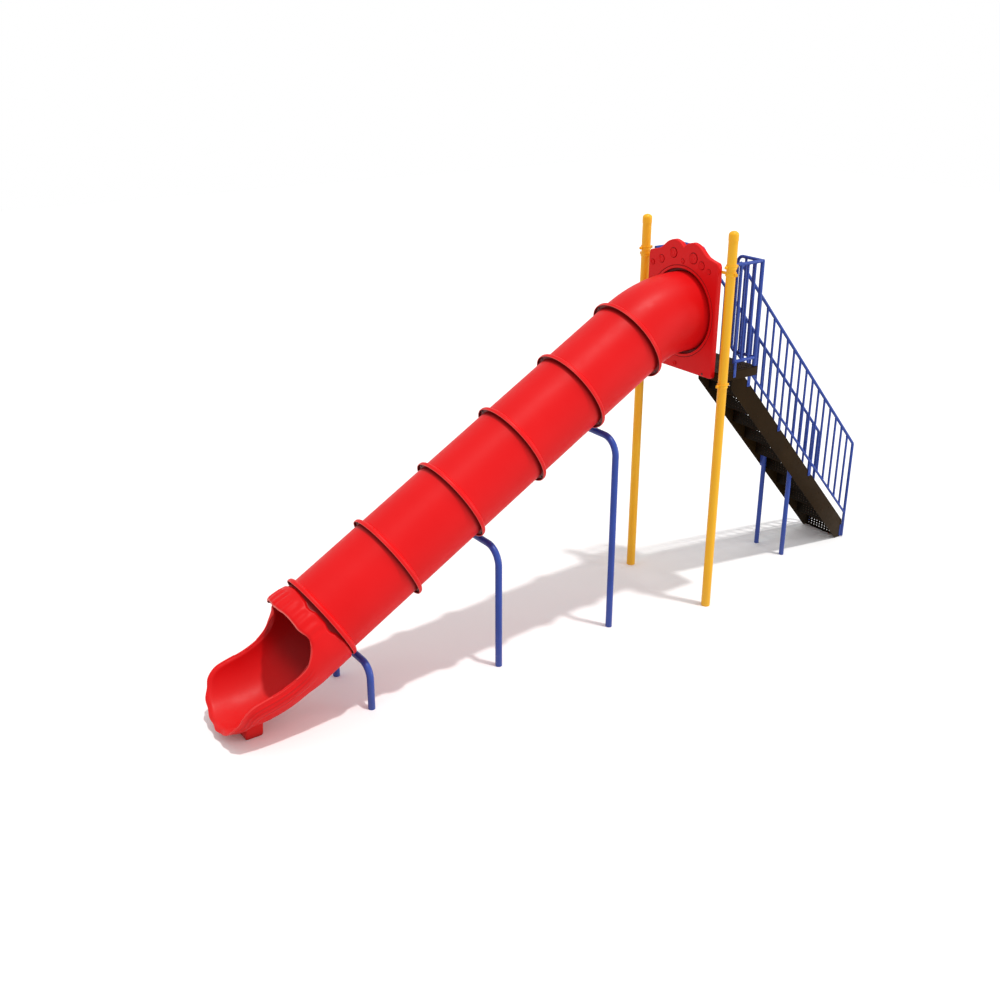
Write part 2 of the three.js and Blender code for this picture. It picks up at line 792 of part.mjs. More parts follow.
function handrail(side) {
  const y = side * (stringerHalfSpread + railOut);
  const last = stringerRear + railRadius + seatGap;
  const topAt = (x) => stringerTop(x) + topRailRise;
  const lowAt = (x) => stringerTop(x) + lowRailRise;
  const corners = [
    vector(guardPlane, y, topAt(guardPlane)),
    vector(last, y, topAt(last)),
    vector(last, y, railFootLift),
  ];
  const lowStart = vector(guardPlane, y, lowAt(guardPlane));
  const pieces = [
    pipe(bentPath(corners, railBend, railBendSteps), railRadius, railSides),
    rod(lowStart, vector(last, y, lowAt(last)), lowerRailRadius, barSides),
  ];
  const face = side * (stringerHalfSpread + seatGap);
  const outer = face + side * footTabThick;
  const tabBetween = (xFrom, xTo, low, high) => {
    const from = vector(xFrom, Math.min(face, outer), low);
    return block(from, vector(xTo, Math.max(face, outer), high));
  };
  const pitch = (last - guardPlane) / (railBars + 1);
  for (let i = 1; i <= railBars; i++) {
    const x = last - pitch * i;
    pieces.push(rod(vector(x, y, lowAt(x)), vector(x, y, topAt(x)), barRadius, barSides));
  }
  for (const place of footTabPlaces) {
    const x = last - pitch * place;
    const tabLow = stringerTop(x) - footTabDrop;
    pieces.push(tabBetween(x - footTabWidth / 2, x + footTabWidth / 2, tabLow, lowAt(x)));
    const bolt = vector(x, face, stringerTop(x) - footTabDrop / 2);
    pieces.push(boltHead(bolt, bolt.clone().add(vector(0, side * (footTabThick + boltHeadThick), 0))));
  }
  pieces.push(tabBetween(last - heelPlateWidth, last, railFootLift, heelPlateHeight));
  const guardFace = guardPlane + guardRailRadius + seatGap;
  const behindLow = vector(guardPlane - cutOverrun, -postSpread, 0);
  const behind = block(behindLow, vector(guardFace, postSpread, postHeight + cutOverrun));
  return asGeometry(joined(pieces).subtract(asSolid(behind)));
}

function sideGuard(side) {
  const y = side * guardOut;
  const top = deckHeight + guardTop;
  const low = deckHeight + guardGap;
  const clampFace = postRadius + clampWall + clampEarReach;
  const at = (x, z) => vector(x, y, z);
  const cornerFoot = at(guardPlane, deckHeight + seatGap);
  const cornerTop = at(guardPlane, top + guardRailRadius);
  const pieces = [
    rod(cornerFoot, cornerTop, cornerPostRadius, pipeSides),
    rod(at(clampFace, top), at(guardPlane, top), guardRailRadius, railSides),
    rod(at(guardStart, low), at(guardPlane, low), guardRailRadius, railSides),
    rod(at(guardStart, low - guardRailRadius), at(guardStart, top), guardRailRadius, railSides),
  ];
  const pitch = (guardPlane - guardStart) / (guardBarCount + 1);
  for (let i = 1; i <= guardBarCount; i++) {
    const x = guardStart + pitch * i;
    pieces.push(rod(at(x, low), at(x, top), barRadius, barSides));
  }
  const face = side * (deckHalfWidth + seatGap);
  const outer = face + side * footTabThick;
  const inner = y + side * (guardRailRadius - footTabThick);
  const tabTop = deckHeight + guardRailRadius;
  const tabLow = vector(guardStart - guardRailRadius, Math.min(face, outer), deckHeight - guardTabDrop);
  const tabHigh = vector(guardStart + guardRailRadius, Math.max(face, outer), low);
  const neckLow = vector(guardStart - guardRailRadius, Math.min(inner, outer), tabTop);
  const neckHigh = vector(guardStart + guardRailRadius, Math.max(inner, outer), low);
  pieces.push(block(tabLow, tabHigh), block(neckLow, neckHigh));
  return asGeometry(joined(pieces));
}

function returnGuard(side) {
  const x = guardPlane;
  const top = deckHeight + guardTop;
  const low = deckHeight + guardGap;
  const start = side * (guardOut - cornerPostRadius - seatGap);
  const inner = side * returnInner;
  const corners = [
    vector(x, start, top),
    vector(x, inner, top),
    vector(x, inner, low),
    vector(x, start, low),
  ];
  const loop = bentPath(corners, returnBend, returnBendSteps);
  const pieces = [pipe(loop, guardRailRadius, railSides)];
  const pitch = (guardOut - returnInner) / (returnBarCount + 1);
  for (let i = 1; i <= returnBarCount; i++) {
    const y = side * (returnInner + pitch * i);
    pieces.push(rod(vector(x, y, low), vector(x, y, top), barRadius, barSides));
  }
  return asGeometry(joined(pieces));
}

// The saddle's strap ends level with the bell's lip, and its web stands at the joint's face
const saddleInner = tubeRadius + bellReach + seatGap;
const webReach = saddleInner + saddleStrap + saddleDrop;

function saddle() {
  // Points round the tube's lower side, from one edge of the strap to the other
  const arcAt = (radius) => {
    const points = [];
    for (let i = 0; i <= saddleFacets; i++) {
      const angle = (2 * Math.PI * (i - saddleFacets / 2)) / tubeSides;
      points.push(new THREE.Vector2(radius * Math.sin(angle), -radius * Math.cos(angle)));
    }
    return points;
  };
  const outer = arcAt(saddleInner + saddleStrap);
  const outline = new THREE.Shape([...arcAt(saddleInner), ...outer.reverse()]);
  const strap = new THREE.ExtrudeGeometry(outline, { depth: saddleWidth, bevelEnabled: false });
  strap.translate(0, 0, bellOverhang - saddleWidth);
  const roof = arcAt(saddleInner + saddleStrap / 2).reverse();
  const half = roof[0].x * saddleWebShare;
  const web = [new THREE.Vector2(-half, -webReach), new THREE.Vector2(half, -webReach), ...roof];
  const plate = new THREE.ExtrudeGeometry(new THREE.Shape(web), { depth: saddleStrap, bevelEnabled: false });
  plate.translate(0, 0, -saddleStrap / 2);
  return asGeometry(joined([strap, plate]));
}

const armCentre = (jointIndex) =>
  jointAt(jointIndex).addScaledVector(underside, webReach + seatGap + supportPipeRadius);

function sideSupport(jointIndex) {
  const { x, z } = armCentre(jointIndex);
  const corners = [
    vector(x, supportTongue, z),
    vector(x, -supportReach, z),
    vector(x, -supportReach, 0),
  ];
  return pipe(bentPath(corners, supportBend), supportPipeRadius, pipeSides);
}

function lowerSupport(jointIndex) {
  const { x, z } = armCentre(jointIndex);
  const corners = [
    vector(x, lowerSupportReach, 0),
    vector(x, lowerSupportReach, z),
    vector(x, -lowerSupportReach, z),
    vector(x, -lowerSupportReach, 0),
  ];
  return pipe(bentPath(corners, lowerSupportBend), supportPipeRadius, pipeSides);
}

// Assembly: the tube
add("entry_panel", entryPanel(), mouldedRed);
add("entry_elbow", elbow(), mouldedRed);
for (let i = 0; i < sectionCount; i++) {
  const section = add(`tube_section_${i + 1}`, tubeSection(), mouldedRed);
  section.quaternion.copy(downhillTurn);
  section.position.copy(jointAt(i)).addScaledVector(downhill, seatGap);
}
add("exit_section", exitSection(), mouldedRed);
add("exit_foot", exitFoot(), mouldedRed);

// Assembly: what carries the tube
const supports = [
  ["upper", 1],
  ["middle", 3],
  ["lower", 5],
];
for (const [name, jointIndex] of supports) {
  const geometry = name === "lower" ? lowerSupport(jointIndex) : sideSupport(jointIndex);
  add(`${name}_support`, geometry, steelBlue);
  const plate = add(`${name}_saddle`, saddle(), steelBlue);
  // The saddle is drawn across Y with its own Z pointing downhill
  const turn = new THREE.Matrix4().makeBasis(vector(0, -1, 0), upperSide, downhill);
  plate.quaternion.setFromRotationMatrix(turn);
  plate.position.copy(jointAt(jointIndex));
}

// Assembly: posts, deck, stair and rails
add("deck", deckPan(), steelBrown);
const panelEarReach = postSpread / 2 - postRadius - clampWall - panelHalfWidth - 2 * seatGap;
for (const [name, side] of sides) {
  const post = new THREE.Group();
  post.position.set(0, (side * postSpread) / 2, 0);
  model.add(post);
  add(`${name}_post`, postTube(), steelYellow, post);
  add(`${name}_post_cap`, postCap(), steelYellow, post);
  const inward = (side * -Math.PI) / 2;
  const clamps = [
    ["guard", 0, clampEarReach, deckHeight + guardClampRise],
    ["panel", inward, panelEarReach, deckHeight + panelClampRise],
    ["deck", 0, clampEarReach, deckHeight - deckSkirt - deckClampDrop],
  ];
  for (const [held, heading, earReach, height] of clamps) {
    const clamp = add(`${name}_${held}_clamp`, postClamp(heading, earReach), steelYellow, post);
    clamp.position.z = height;
  }
  add(`${name}_panel_bolt`, panelBolt(side), zincSteel);
  add(`${name}_stringer`, stringer(side), steelBrown);
  add(`${name}_stair_leg`, stairLeg(side), steelBlue);
  add(`${name}_handrail`, handrail(side), steelBlue);
  add(`${name}_side_guard`, sideGuard(side), steelBlue);
  add(`${name}_return_guard`, returnGuard(side), steelBlue);
}
for (let i = 1; i < stairSteps; i++) {
  add(`tread_${String(i).padStart(2, "0")}`, treadSheetAt(i), steelBrown);
}
add("bottom_riser", bottomRiser(), steelBrown);

// The origin is the middle of the part's floor plan
const bounds = new THREE.Box3().setFromObject(model);
model.position.x = -(bounds.min.x + bounds.max.x) / 2;
const group = new THREE.Group();
group.add(model);

export default group;
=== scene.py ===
import math
import bmesh
import bpy
from mathutils import Matrix, Vector
from mathutils.geometry import tessellate_polygon
from mathutils.kdtree import KDTree


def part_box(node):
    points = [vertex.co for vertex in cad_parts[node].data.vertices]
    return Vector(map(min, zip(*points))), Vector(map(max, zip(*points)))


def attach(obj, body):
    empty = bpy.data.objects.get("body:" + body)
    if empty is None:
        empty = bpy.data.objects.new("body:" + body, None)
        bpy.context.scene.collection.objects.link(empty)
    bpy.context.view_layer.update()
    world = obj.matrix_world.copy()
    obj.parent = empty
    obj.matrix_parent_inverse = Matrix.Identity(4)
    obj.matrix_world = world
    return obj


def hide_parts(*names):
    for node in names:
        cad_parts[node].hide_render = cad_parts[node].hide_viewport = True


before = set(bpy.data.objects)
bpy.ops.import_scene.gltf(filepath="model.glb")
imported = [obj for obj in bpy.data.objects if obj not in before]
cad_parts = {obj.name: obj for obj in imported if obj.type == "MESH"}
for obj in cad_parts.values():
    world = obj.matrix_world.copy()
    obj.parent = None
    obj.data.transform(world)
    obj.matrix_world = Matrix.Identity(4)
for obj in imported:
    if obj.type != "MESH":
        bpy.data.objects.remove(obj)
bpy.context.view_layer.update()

# The slide's looks: a moulded tube in bolted sections, painted pipes, a coated steel stair.
# Metres, +Z up. The exit lies towards -X, the stair towards +X, the near side is -Y.

axisX, axisY, axisZ = Vector((1, 0, 0)), Vector((0, 1, 0)), Vector((0, 0, 1))
seatGap = 0.0003  # left between two pieces that touch
bothSides = (("near", -1), ("far", 1))


# Shapes

# Points and faces of one piece, gathered from several shapes
class Shell:
    def __init__(self):
        self.points, self.faces, self.tones = [], [], []

    # A tone below 0 is painted shade in a recess, bore or underside, above 0 a painted highlight on
    # the paler plastic of an edge
    def add(self, points, faces, place=None, tones=None):
        first = len(self.points)
        self.points += [place @ Vector(p) if place else Vector(p) for p in points]
        self.faces += [tuple(first + i for i in face) for face in faces]
        self.tones += tones or [0.0] * len(points)


def gridFaces(rows, columns, loopRows=False, loopColumns=False):
    faces = []
    for r in range(rows if loopRows else rows - 1):
        for c in range(columns if loopColumns else columns - 1):
            here, after, beside = r * columns, (r + 1) % rows * columns, (c + 1) % columns
            faces.append((here + c, here + beside, after + beside, after + c))
    return faces


# Faces of a closed body made of rings, with flat ends
def ringFaces(rings, sides):
    last = range((rings - 1) * sides, rings * sides)
    return gridFaces(rings, sides, False, True) + [tuple(range(sides)), tuple(reversed(last))]


def smooth(low, high, value):
    share = min(max((value - low) / (high - low), 0), 1)
    return share * share * (3 - 2 * share)


# Rises from the first to the second limit, falls from the third to the fourth
def hill(limits, value):
    return smooth(*limits[:2], value) * (1 - smooth(*limits[2:], value))


def mix(a, b, share):
    return a + (b - a) * share


# Rounds each corner of a list of points with a small curve
def softened(points, radius, steps=3, closed=True):
    points = [Vector(p) for p in points]
    soft = []
    for i, corner in enumerate(points):
        if not closed and i in (0, len(points) - 1):
            soft.append(corner)
            continue
        ways = [points[i - 1] - corner, points[(i + 1) % len(points)] - corner]
        start, end = (corner + way.normalized() * min(radius, way.length / 2) for way in ways)
        for k in range(steps + 1):
            t = k / steps
            soft.append(start * (1 - t) ** 2 + corner * 2 * t * (1 - t) + end * t * t)
    return soft


# A smooth curve through the points, with a few steps between each two
def curveThrough(points, steps):
    points = [Vector(p) for p in points]
    row = [points[0] * 2 - points[1], *points, points[-1] * 2 - points[-2]]
    curve = []
    for i in range(1, len(row) - 2):
        a, b, c, d = row[i - 1:i + 3]
        for k in range(steps):
            t = k / steps
            square, cube = a * 2 - b * 5 + c * 4 - d, b * 3 - a - c * 3 + d
            curve.append((b * 2 + (c - a) * t + square * t ** 2 + cube * t ** 3) / 2)
    return curve + [points[-1]]


def roundLoop(radius, sides, centre=(0, 0)):
    angles = [2 * math.pi * k / sides for k in range(sides)]
    return [(centre[0] + radius * math.cos(a), centre[1] + radius * math.sin(a)) for a in angles]


def boxLoop(left, right, low, high):
    return [(left, low), (right, low), (right, high), (left, high)]


# A profile of radius and height turned round Z, with a tone for each of its points
def turned(shell, profile, sides, place=None, closed=True, toneAt=None):
    points, tones = [], []
    for radius, height in profile:
        points += [(x, y, height) for x, y in roundLoop(radius, sides)]
        tones += [toneAt(radius, height) if toneAt else 0.0] * sides
    shell.add(points, gridFaces(len(profile), sides, closed, True), place, tones)


# Straight runs with rounded corners, as points with the direction at each
def bentRun(corners, bend, steps=10):
    corners = [Vector(c) for c in corners]
    run = [(corners[0], (corners[1] - corners[0]).normalized())]
    for i in range(1, len(corners) - 1):
        before = (corners[i] - corners[i - 1]).normalized()
        after = (corners[i + 1] - corners[i]).normalized()
        turn = before.angle(after)
        inward = (after - before * after.dot(before)).normalized()
        start = corners[i] - before * bend * math.tan(turn / 2)
        for k in range(steps + 1):
            along, aside = math.sin(turn * k / steps), math.cos(turn * k / steps)
            point = start + before * bend * along + inward * bend * (1 - aside)
            run.append((point, before * aside + inward * along))
    run.append((corners[-1], (corners[-1] - corners[-2]).normalized()))
    return run


# A round pipe along a run, its ends closed with a slightly rounded face
def pipe(shell, run, radius, sides=20, endShare=0.15):
    (first, ahead), (last, onward) = run[0], run[-1]
    soft = radius * endShare
    turns = [math.pi / 6 * k for k in range(4)]
    ends = [(soft * (1 - math.cos(turn)), radius - soft * (1 - math.sin(turn))) for turn in turns]
    rings = [(first + ahead * back, ahead, reach) for back, reach in ends]
    rings += [(point, direction, radius) for point, direction in run[1:-1]]
    rings += [(last - onward * back, onward, reach) for back, reach in reversed(ends)]
    points, side, before = [], ahead.orthogonal().normalized(), ahead
    for point, direction, reach in rings:
        side = before.rotation_difference(direction) @ side
        side = (side - direction * side.dot(direction)).normalized()
        before, across = direction, direction.cross(side)
        points += [point + side * x + across * y for x, y in roundLoop(reach, sides)]
    shell.add(points, ringFaces(len(rings), sides))


def rod(shell, start, end, radius, sides=16, endShare=0.15):
    start, end = Vector(start), Vector(end)
    direction = (end - start).normalized()
    pipe(shell, [(start, direction), (end, direction)], radius, sides, endShare)


def unitPlace(origin, across, upward, outward):
    place = Matrix((across, upward, outward)).transposed().to_4x4()
    place.translation = origin
    return place


# A place that looks out of a surface
def facing(seat, across, outward):
    return unitPlace(seat, across, outward.cross(across), outward)


# The inward shift of a closed outline in its plane
def insetLoop(loop, distance):
    area = sum(a.x * b.y - b.x * a.y for a, b in zip(loop, loop[1:] + loop[:1]))
    turn = 1 if area > 0 else -1
    shifted = []
    for i, point in enumerate(loop):
        before = (point - loop[i - 1]).normalized()
        after = (loop[(i + 1) % len(loop)] - point).normalized()
        sides = [Vector((-way.y, way.x)) * turn for way in (before, after)]
        normal = (sides[0] + sides[1]).normalized()
        shifted.append(point + normal * (distance / max(normal.dot(sides[1]), 0.4)))
    return shifted


# A flat plate with rounded edges: its outline and its holes in the plane, its thickness along Z
def plate(shell, outline, thick, edge, place, holes=(), edgeSteps=2, holeEdge=0):
    caps, points, faces = [[], []], [], []
    for number, loop in enumerate([outline, *holes]):
        loop = [Vector(p) for p in loop]
        sign, soft = (-1, holeEdge or edge) if number else (1, edge)
        turns = [math.pi / 2 * k / edgeSteps for k in range(edgeSteps + 1)]
        levels = [(soft * (1 - math.cos(turn)), soft * (1 - math.sin(turn))) for turn in turns]
        levels += [(thick - height, inset) for height, inset in reversed(levels)]
        first, count = len(points), len(loop)
        for height, inset in levels:
            points += [(p.x, p.y, height) for p in insetLoop(loop, inset * sign)]
        for face in gridFaces(len(levels), count, False, True):
            faces.append(tuple(first + i for i in face))
        for cap, start in zip(caps, (first, len(points) - count)):
            cap.append(range(start, start + count))
    for cap in caps:
        flat = [index for loop in cap for index in loop]
        triangles = tessellate_polygon([[Vector(points[i]) for i in loop] for loop in cap])
        faces += [tuple(flat[i] for i in triangle) for triangle in triangles]
    shell.add(points, faces, place)


# An upright plate between two faces across Y, such as the tab of a rail
def tabPlate(shell, left, right, low, high, faces, corner, edge):
    place = unitPlace(axisY * max(faces), axisX, axisZ, -axisY)
    loop = softened(boxLoop(left, right, low, high), corner)
    plate(shell, loop, max(faces) - min(faces), edge, place)


# An upright sheet over a line on the ground plan
def uprightSheet(shell, start, end, low, high, thick, edge=0.0012):
    start, end = Vector((*start, low)), Vector((*end, low))
    across = (end - start).normalized()
    outward = across.cross(axisZ)
    loop = softened(boxLoop(0, (end - start).length, 0, high - low), 0.002, 2)
    plate(shell, loop, thick, edge, unitPlace(start - outward * thick, across, axisZ, outward))


sheetHoles = {
    "radius": 0.0062,
    "flat": (0.030, 0.0385),
    "upright": (0.0385, 0.030),
    "border": 0.3,
    "under": -0.8,
}


# A sheet with rows of real round holes, inside a plain border; the hole's ring has eight points.
# Its face at level 0, under or behind the sheet, is painted in shade
def perforated(shell, width, length, thick, place, pitches, border=sheetHoles["border"]):
    pitchX, pitchY = pitches
    countX = max(int(width / pitchX - border), 1)
    countY = max(int(length / pitchY - sheetHoles["border"]), 1)
    startX, startY = (width - countX * pitchX) / 2, (length - countY * pitchY) / 2
    cells = [(i, j) for i in range(countX) for j in range(countY)]
    row = countY + 1
    points, faces = [], []
    for level in (0, thick):
        first = len(points)
        points += [(startX + i * pitchX, startY + j * pitchY, level)
                   for i in range(countX + 1) for j in range(row)]
        holes = len(points)
        for i, j in cells:
            x, y = startX + (i + 0.5) * pitchX, startY + (j + 0.5) * pitchY
            for k in range(8):
                angle = math.pi / 4 * (k + 0.5)
                points.append((x + sheetHoles["radius"] * math.cos(angle),
                               y + sheetHoles["radius"] * math.sin(angle), level))
        for number, (i, j) in enumerate(cells):
            ring = holes + number * 8
            corners = [first + (i + a) * row + j + b for a, b in ((1, 1), (0, 1), (0, 0), (1, 0))]
            for q in range(4):
                a, b, c = (ring + (2 * q + step) % 8 for step in range(3))
                faces += [(corners[q], b, a), (corners[q], corners[(q + 1) % 4], c, b)]
        rim = len(points)
        points += [(x, y, level) for x, y in boxLoop(0, width, 0, length)]
        edges = (range(first, holes, row), range(holes - row, holes),
                 range(first + countY, holes, row)[::-1], range(first, first + row)[::-1])
        for side, edge in enumerate(edges):
            faces.append((rim + side, rim + (side + 1) % 4, *reversed(edge)))
    half = len(points) // 2
    loops = [range(ring, ring + 8) for ring in range(holes - half, half - 4, 8)]
    for loop in (*loops, range(half - 4, half)):
        faces += [(a, b, b + half, a + half) for a, b in zip(loop, [*loop[1:], loop[0]])]
    # Painted shade on the face at level 0
    shell.add(points, faces, place, [sheetHoles["under"]] * half + [0.0] * half)


# Profiles of fasteners: shares of the head's radius and height, each with its number of sides
buttonTurns = [math.pi / 10 * k for k in range(1, 6)]
hexBolt = ((((0, 0), (1.35, 0), (1.35, 0.2), (0, 0.22)), 20),
           (((1, 0), (1, 0.8), (0.86, 1), (0, 1)), 6))
button = ((((1.3, 0), (1.3, 0.18), (1, 0.2),
            *((math.cos(turn), 0.2 + 0.8 * math.sin(turn)) for turn in buttonTurns)), 20),)


def fasten(shell, kind, radius, height, place):
    for shares, sides in kind:
        profile = [(radius * out, height * up) for out, up in shares]
        turned(shell, profile, sides, place, closed=False)


# A fastener on a face across Y
def fastenSide(shell, kind, radius, height, seat, side):
    fasten(shell, kind, radius, height, facing(Vector(seat), axisX, axisY * side))


# Makes the piece for a node of the CAD model, and hides that node
def finishPiece(shell, slot, node, sharp=32, weighted=False, name=None):
    words = (node or "").split("_")
    name = name or words[0] + "".join(word.capitalize() for word in words[1:])
    mesh = bpy.data.meshes.new(name)
    mesh.from_pydata(shell.points, [], shell.faces)
    mesh.attributes.new("tone", "FLOAT", "POINT").data.foreach_set("value", shell.tones)
    work = bmesh.new()
    work.from_mesh(mesh)
    bmesh.ops.remove_doubles(work, verts=work.verts, dist=0.00002)
    bmesh.ops.dissolve_degenerate(work, edges=work.edges, dist=0.000005)
    bmesh.ops.recalc_face_normals(work, faces=work.faces)
    work.to_mesh(mesh)
    work.free()
    mesh.shade_smooth()
    mesh.set_sharp_from_angle(angle=math.radians(sharp))
    mesh.materials.append(finishes[slot])
    piece = bpy.data.objects.new(name, mesh)
    bpy.context.scene.collection.objects.link(piece)
    if weighted:
        level = piece.modifiers.new("evenShade", "WEIGHTED_NORMAL")
        level.weight = 100
        level.keep_sharp = True
    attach(piece, "root")
    if node:
        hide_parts(node)


# Finishes

def nodeIn(tree, kind, **values):
    node = tree.nodes.new(kind)
    for key, value in values.items():
        if key in node.inputs:
            node.inputs[key].default_value = value
        else:
            setattr(node, key, value)
    return node


def noiseAt(tree, coords, scale, detail, rough=0.5):
    noise = nodeIn(tree, "ShaderNodeTexNoise", Scale=scale, Detail=detail, Roughness=rough)
    tree.links.new(coords, noise.inputs["Vector"])
    return noise.outputs["Fac"]


def rampOf(tree, source, low, high, places=(0.3, 0.7)):
    ramp = nodeIn(tree, "ShaderNodeValToRGB")
    for element, place, colour in zip(ramp.color_ramp.elements, places, (low, high)):
        element.position = place
        element.color = (*(colour if isinstance(colour, tuple) else (colour,) * 3), 1)
    tree.links.new(source, ramp.inputs["Fac"])
    return ramp.outputs["Color"]


def rangeOf(tree, source, low, high, top=1):
    node = nodeIn(tree, "ShaderNodeMapRange", **{"From Min": low, "From Max": high, "To Max": top})
    tree.links.new(source, node.inputs["Value"])
    return node.outputs["Result"]


# Links each value to its socket, or writes it there
def fill(tree, pairs):
    for socket, value in pairs:
        if hasattr(value, "links"):
            tree.links.new(value, socket)
        else:
            socket.default_value = (*value, 1) if isinstance(value, tuple) else value


def mathOf(tree, operation, first, second):
    node = nodeIn(tree, "ShaderNodeMath", operation=operation)
    fill(tree, ((node.inputs[0], first), (node.inputs[1], second)))
    return node.outputs[0]


def blendOf(tree, share, first, second):
    node = nodeIn(tree, "ShaderNodeMix", data_type="RGBA", blend_type="MIX")
    fill(tree, ((node.inputs[0], share), (node.inputs[6], first), (node.inputs[7], second)))
    return node.outputs[2]


def bumpOf(tree, height, distance, strength, below=None):
    node = nodeIn(tree, "ShaderNodeBump", Distance=distance, Strength=strength)
    tree.links.new(height, node.inputs["Height"])
    if below:
        tree.links.new(below, node.inputs["Normal"])
    return node.outputs["Normal"]


def newFinish(name):
    finish = bpy.data.materials.new(name)
    finish.use_nodes = True
    tree = finish.node_tree
    coords = nodeIn(tree, "ShaderNodeTexCoord").outputs["Object"]
    return finish, tree, tree.nodes["Principled BSDF"].inputs, coords


# Moulded plastic and coatings: slow tone changes, a fine skin texture, dust near the ground
def coated(name, look):
    finish, tree, sockets, coords = newFinish(name)
    for socket, key in (("IOR", "ior"), ("Specular IOR Level", "specular"),
                        ("Coat Weight", "coat"), ("Coat Roughness", "coatRough")):
        sockets[socket].default_value = look[key]
    tones = noiseAt(tree, coords, look["toneScale"], 3)
    colour = rampOf(tree, tones, look["shade"], look["colour"])
    flecks = rampOf(tree, noiseAt(tree, coords, look["fleckScale"], 2, 0.6), 0, 1, (0.64, 0.76))
    share = mathOf(tree, "MULTIPLY", flecks, look["fleck"])
    colour = blendOf(tree, share, colour, look["fleckColour"])
    # Dust that rain throws up from the ground
    height = nodeIn(tree, "ShaderNodeSeparateXYZ")
    tree.links.new(coords, height.inputs[0])
    low = rangeOf(tree, height.outputs["Z"], look["dustTop"], 0, look["dust"])
    share = mathOf(tree, "MULTIPLY", low, noiseAt(tree, coords, look["dustScale"], 4, 0.62))
    colour = blendOf(tree, share, colour, look["dustColour"])
    # Painted shade in recesses, bores and undersides, and painted highlights on the paler plastic
    # along edges, as each piece's own tones say
    tone = nodeIn(tree, "ShaderNodeAttribute", attribute_name="tone").outputs["Fac"]
    for end, kind in ((-1, "grime"), (1, "worn")):
        colour = blendOf(tree, rangeOf(tree, tone, 0, end), colour, look[kind])
    tree.links.new(colour, sockets["Base Color"])
    gloss = rampOf(tree, noiseAt(tree, coords, look["glossScale"], 4, 0.6), *look["rough"])
    tree.links.new(gloss, sockets["Roughness"])
    skin = noiseAt(tree, coords, look["skinScale"], 3, 0.55)
    wave = noiseAt(tree, coords, look["waveScale"], 2)
    bump = bumpOf(tree, skin, look["skinDepth"], look["skin"])
    tree.links.new(bumpOf(tree, wave, look["waveDepth"], look["wave"], bump), sockets["Normal"])
    return finish


# Zinc-plated bolts: metal with a fine grain
def plated(name, look):
    finish, tree, sockets, coords = newFinish(name)
    sockets["Metallic"].default_value = 1
    grain = noiseAt(tree, coords, look["grainScale"], 3, 0.6)
    tree.links.new(rampOf(tree, grain, look["shade"], look["colour"]), sockets["Base Color"])
    tree.links.new(rampOf(tree, grain, *look["rough"]), sockets["Roughness"])
    tree.links.new(bumpOf(tree, grain, look["depth"], look["bump"]), sockets["Normal"])
    return finish


mouldedLook = {
    "colour": (0.80, 0.0065, 0.0085),
    "shade": (0.75, 0.004, 0.0055),
    "toneScale": 1.3,
    "fleckScale": 210,
    "fleck": 0.05,
    "fleckColour": (1.0, 0.16, 0.12),
    "ior": 1.5,
    "specular": 0.19,
    "coat": 0,
    "coatRough": 0.2,
    "rough": (0.38, 0.5),
    "glossScale": 9,
    "skinScale": 420,
    "skinDepth": 0.0012,
    "skin": 0.12,
    "waveScale": 5,
    "waveDepth": 0.02,
    "wave": 0.05,
    "dustTop": 0.35,
    "dust": 0.10,
    "dustScale": 14,
    "dustColour": (0.42, 0.24, 0.18),
    "grime": (0.06, 0.001, 0.001),
    "worn": (1.0, 0.20, 0.17),
}
paintLook = {
    "ior": 1.5,
    "specular": 0.3,
    "coat": 0.08,
    "coatRough": 0.2,
    "toneScale": 3,
    "fleckScale": 300,
    "fleck": 0.06,
    "rough": (0.34, 0.46),
    "glossScale": 16,
    "skinScale": 520,
    "skinDepth": 0.0008,
    "skin": 0.16,
    "waveScale": 30,
    "waveDepth": 0.002,
    "wave": 0.05,
    "dustTop": 0.5,
    "dust": 0.16,
    "dustScale": 22,
    "dustColour": (0.36, 0.32, 0.27),
    "grime": (0.02, 0.02, 0.02),
    "worn": (0.7, 0.7, 0.7),
}
blueLook = dict(paintLook, colour=(0.031, 0.078, 0.41), shade=(0.024, 0.062, 0.34),
                fleckColour=(0.08, 0.16, 0.62))
yellowLook = dict(paintLook, colour=(1.0, 0.53, 0.016), shade=(1.0, 0.48, 0.011),
                  fleckColour=(1.0, 0.62, 0.10))
brownLook = dict(paintLook, colour=(0.029, 0.0145, 0.0035), shade=(0.021, 0.0105, 0.0025),
                 grime=(0.003, 0.0018, 0.0006), fleckColour=(0.07, 0.045, 0.02), fleckScale=160,
                 fleck=0.2, coat=0, specular=0.07, rough=(0.45, 0.62), skinScale=260,
                 skinDepth=0.0016, skin=0.3)
zincLook = {
    "colour": (0.11, 0.10, 0.10),
    "shade": (0.05, 0.045, 0.045),
    "grainScale": 600,
    "rough": (0.28, 0.5),
    "depth": 0.0004,
    "bump": 0.2,
}
finishes = {
    "moulded_red": coated("mouldedRed", mouldedLook),
    "blue_paint": coated("bluePaint", blueLook),
    "yellow_paint": coated("yellowPaint", yellowLook),
    "brown_coating": coated("brownCoat", brownLook),
    "zinc_bolt": plated("zincPlate", zincLook),
}
print("finishes made")


# The tube's axis

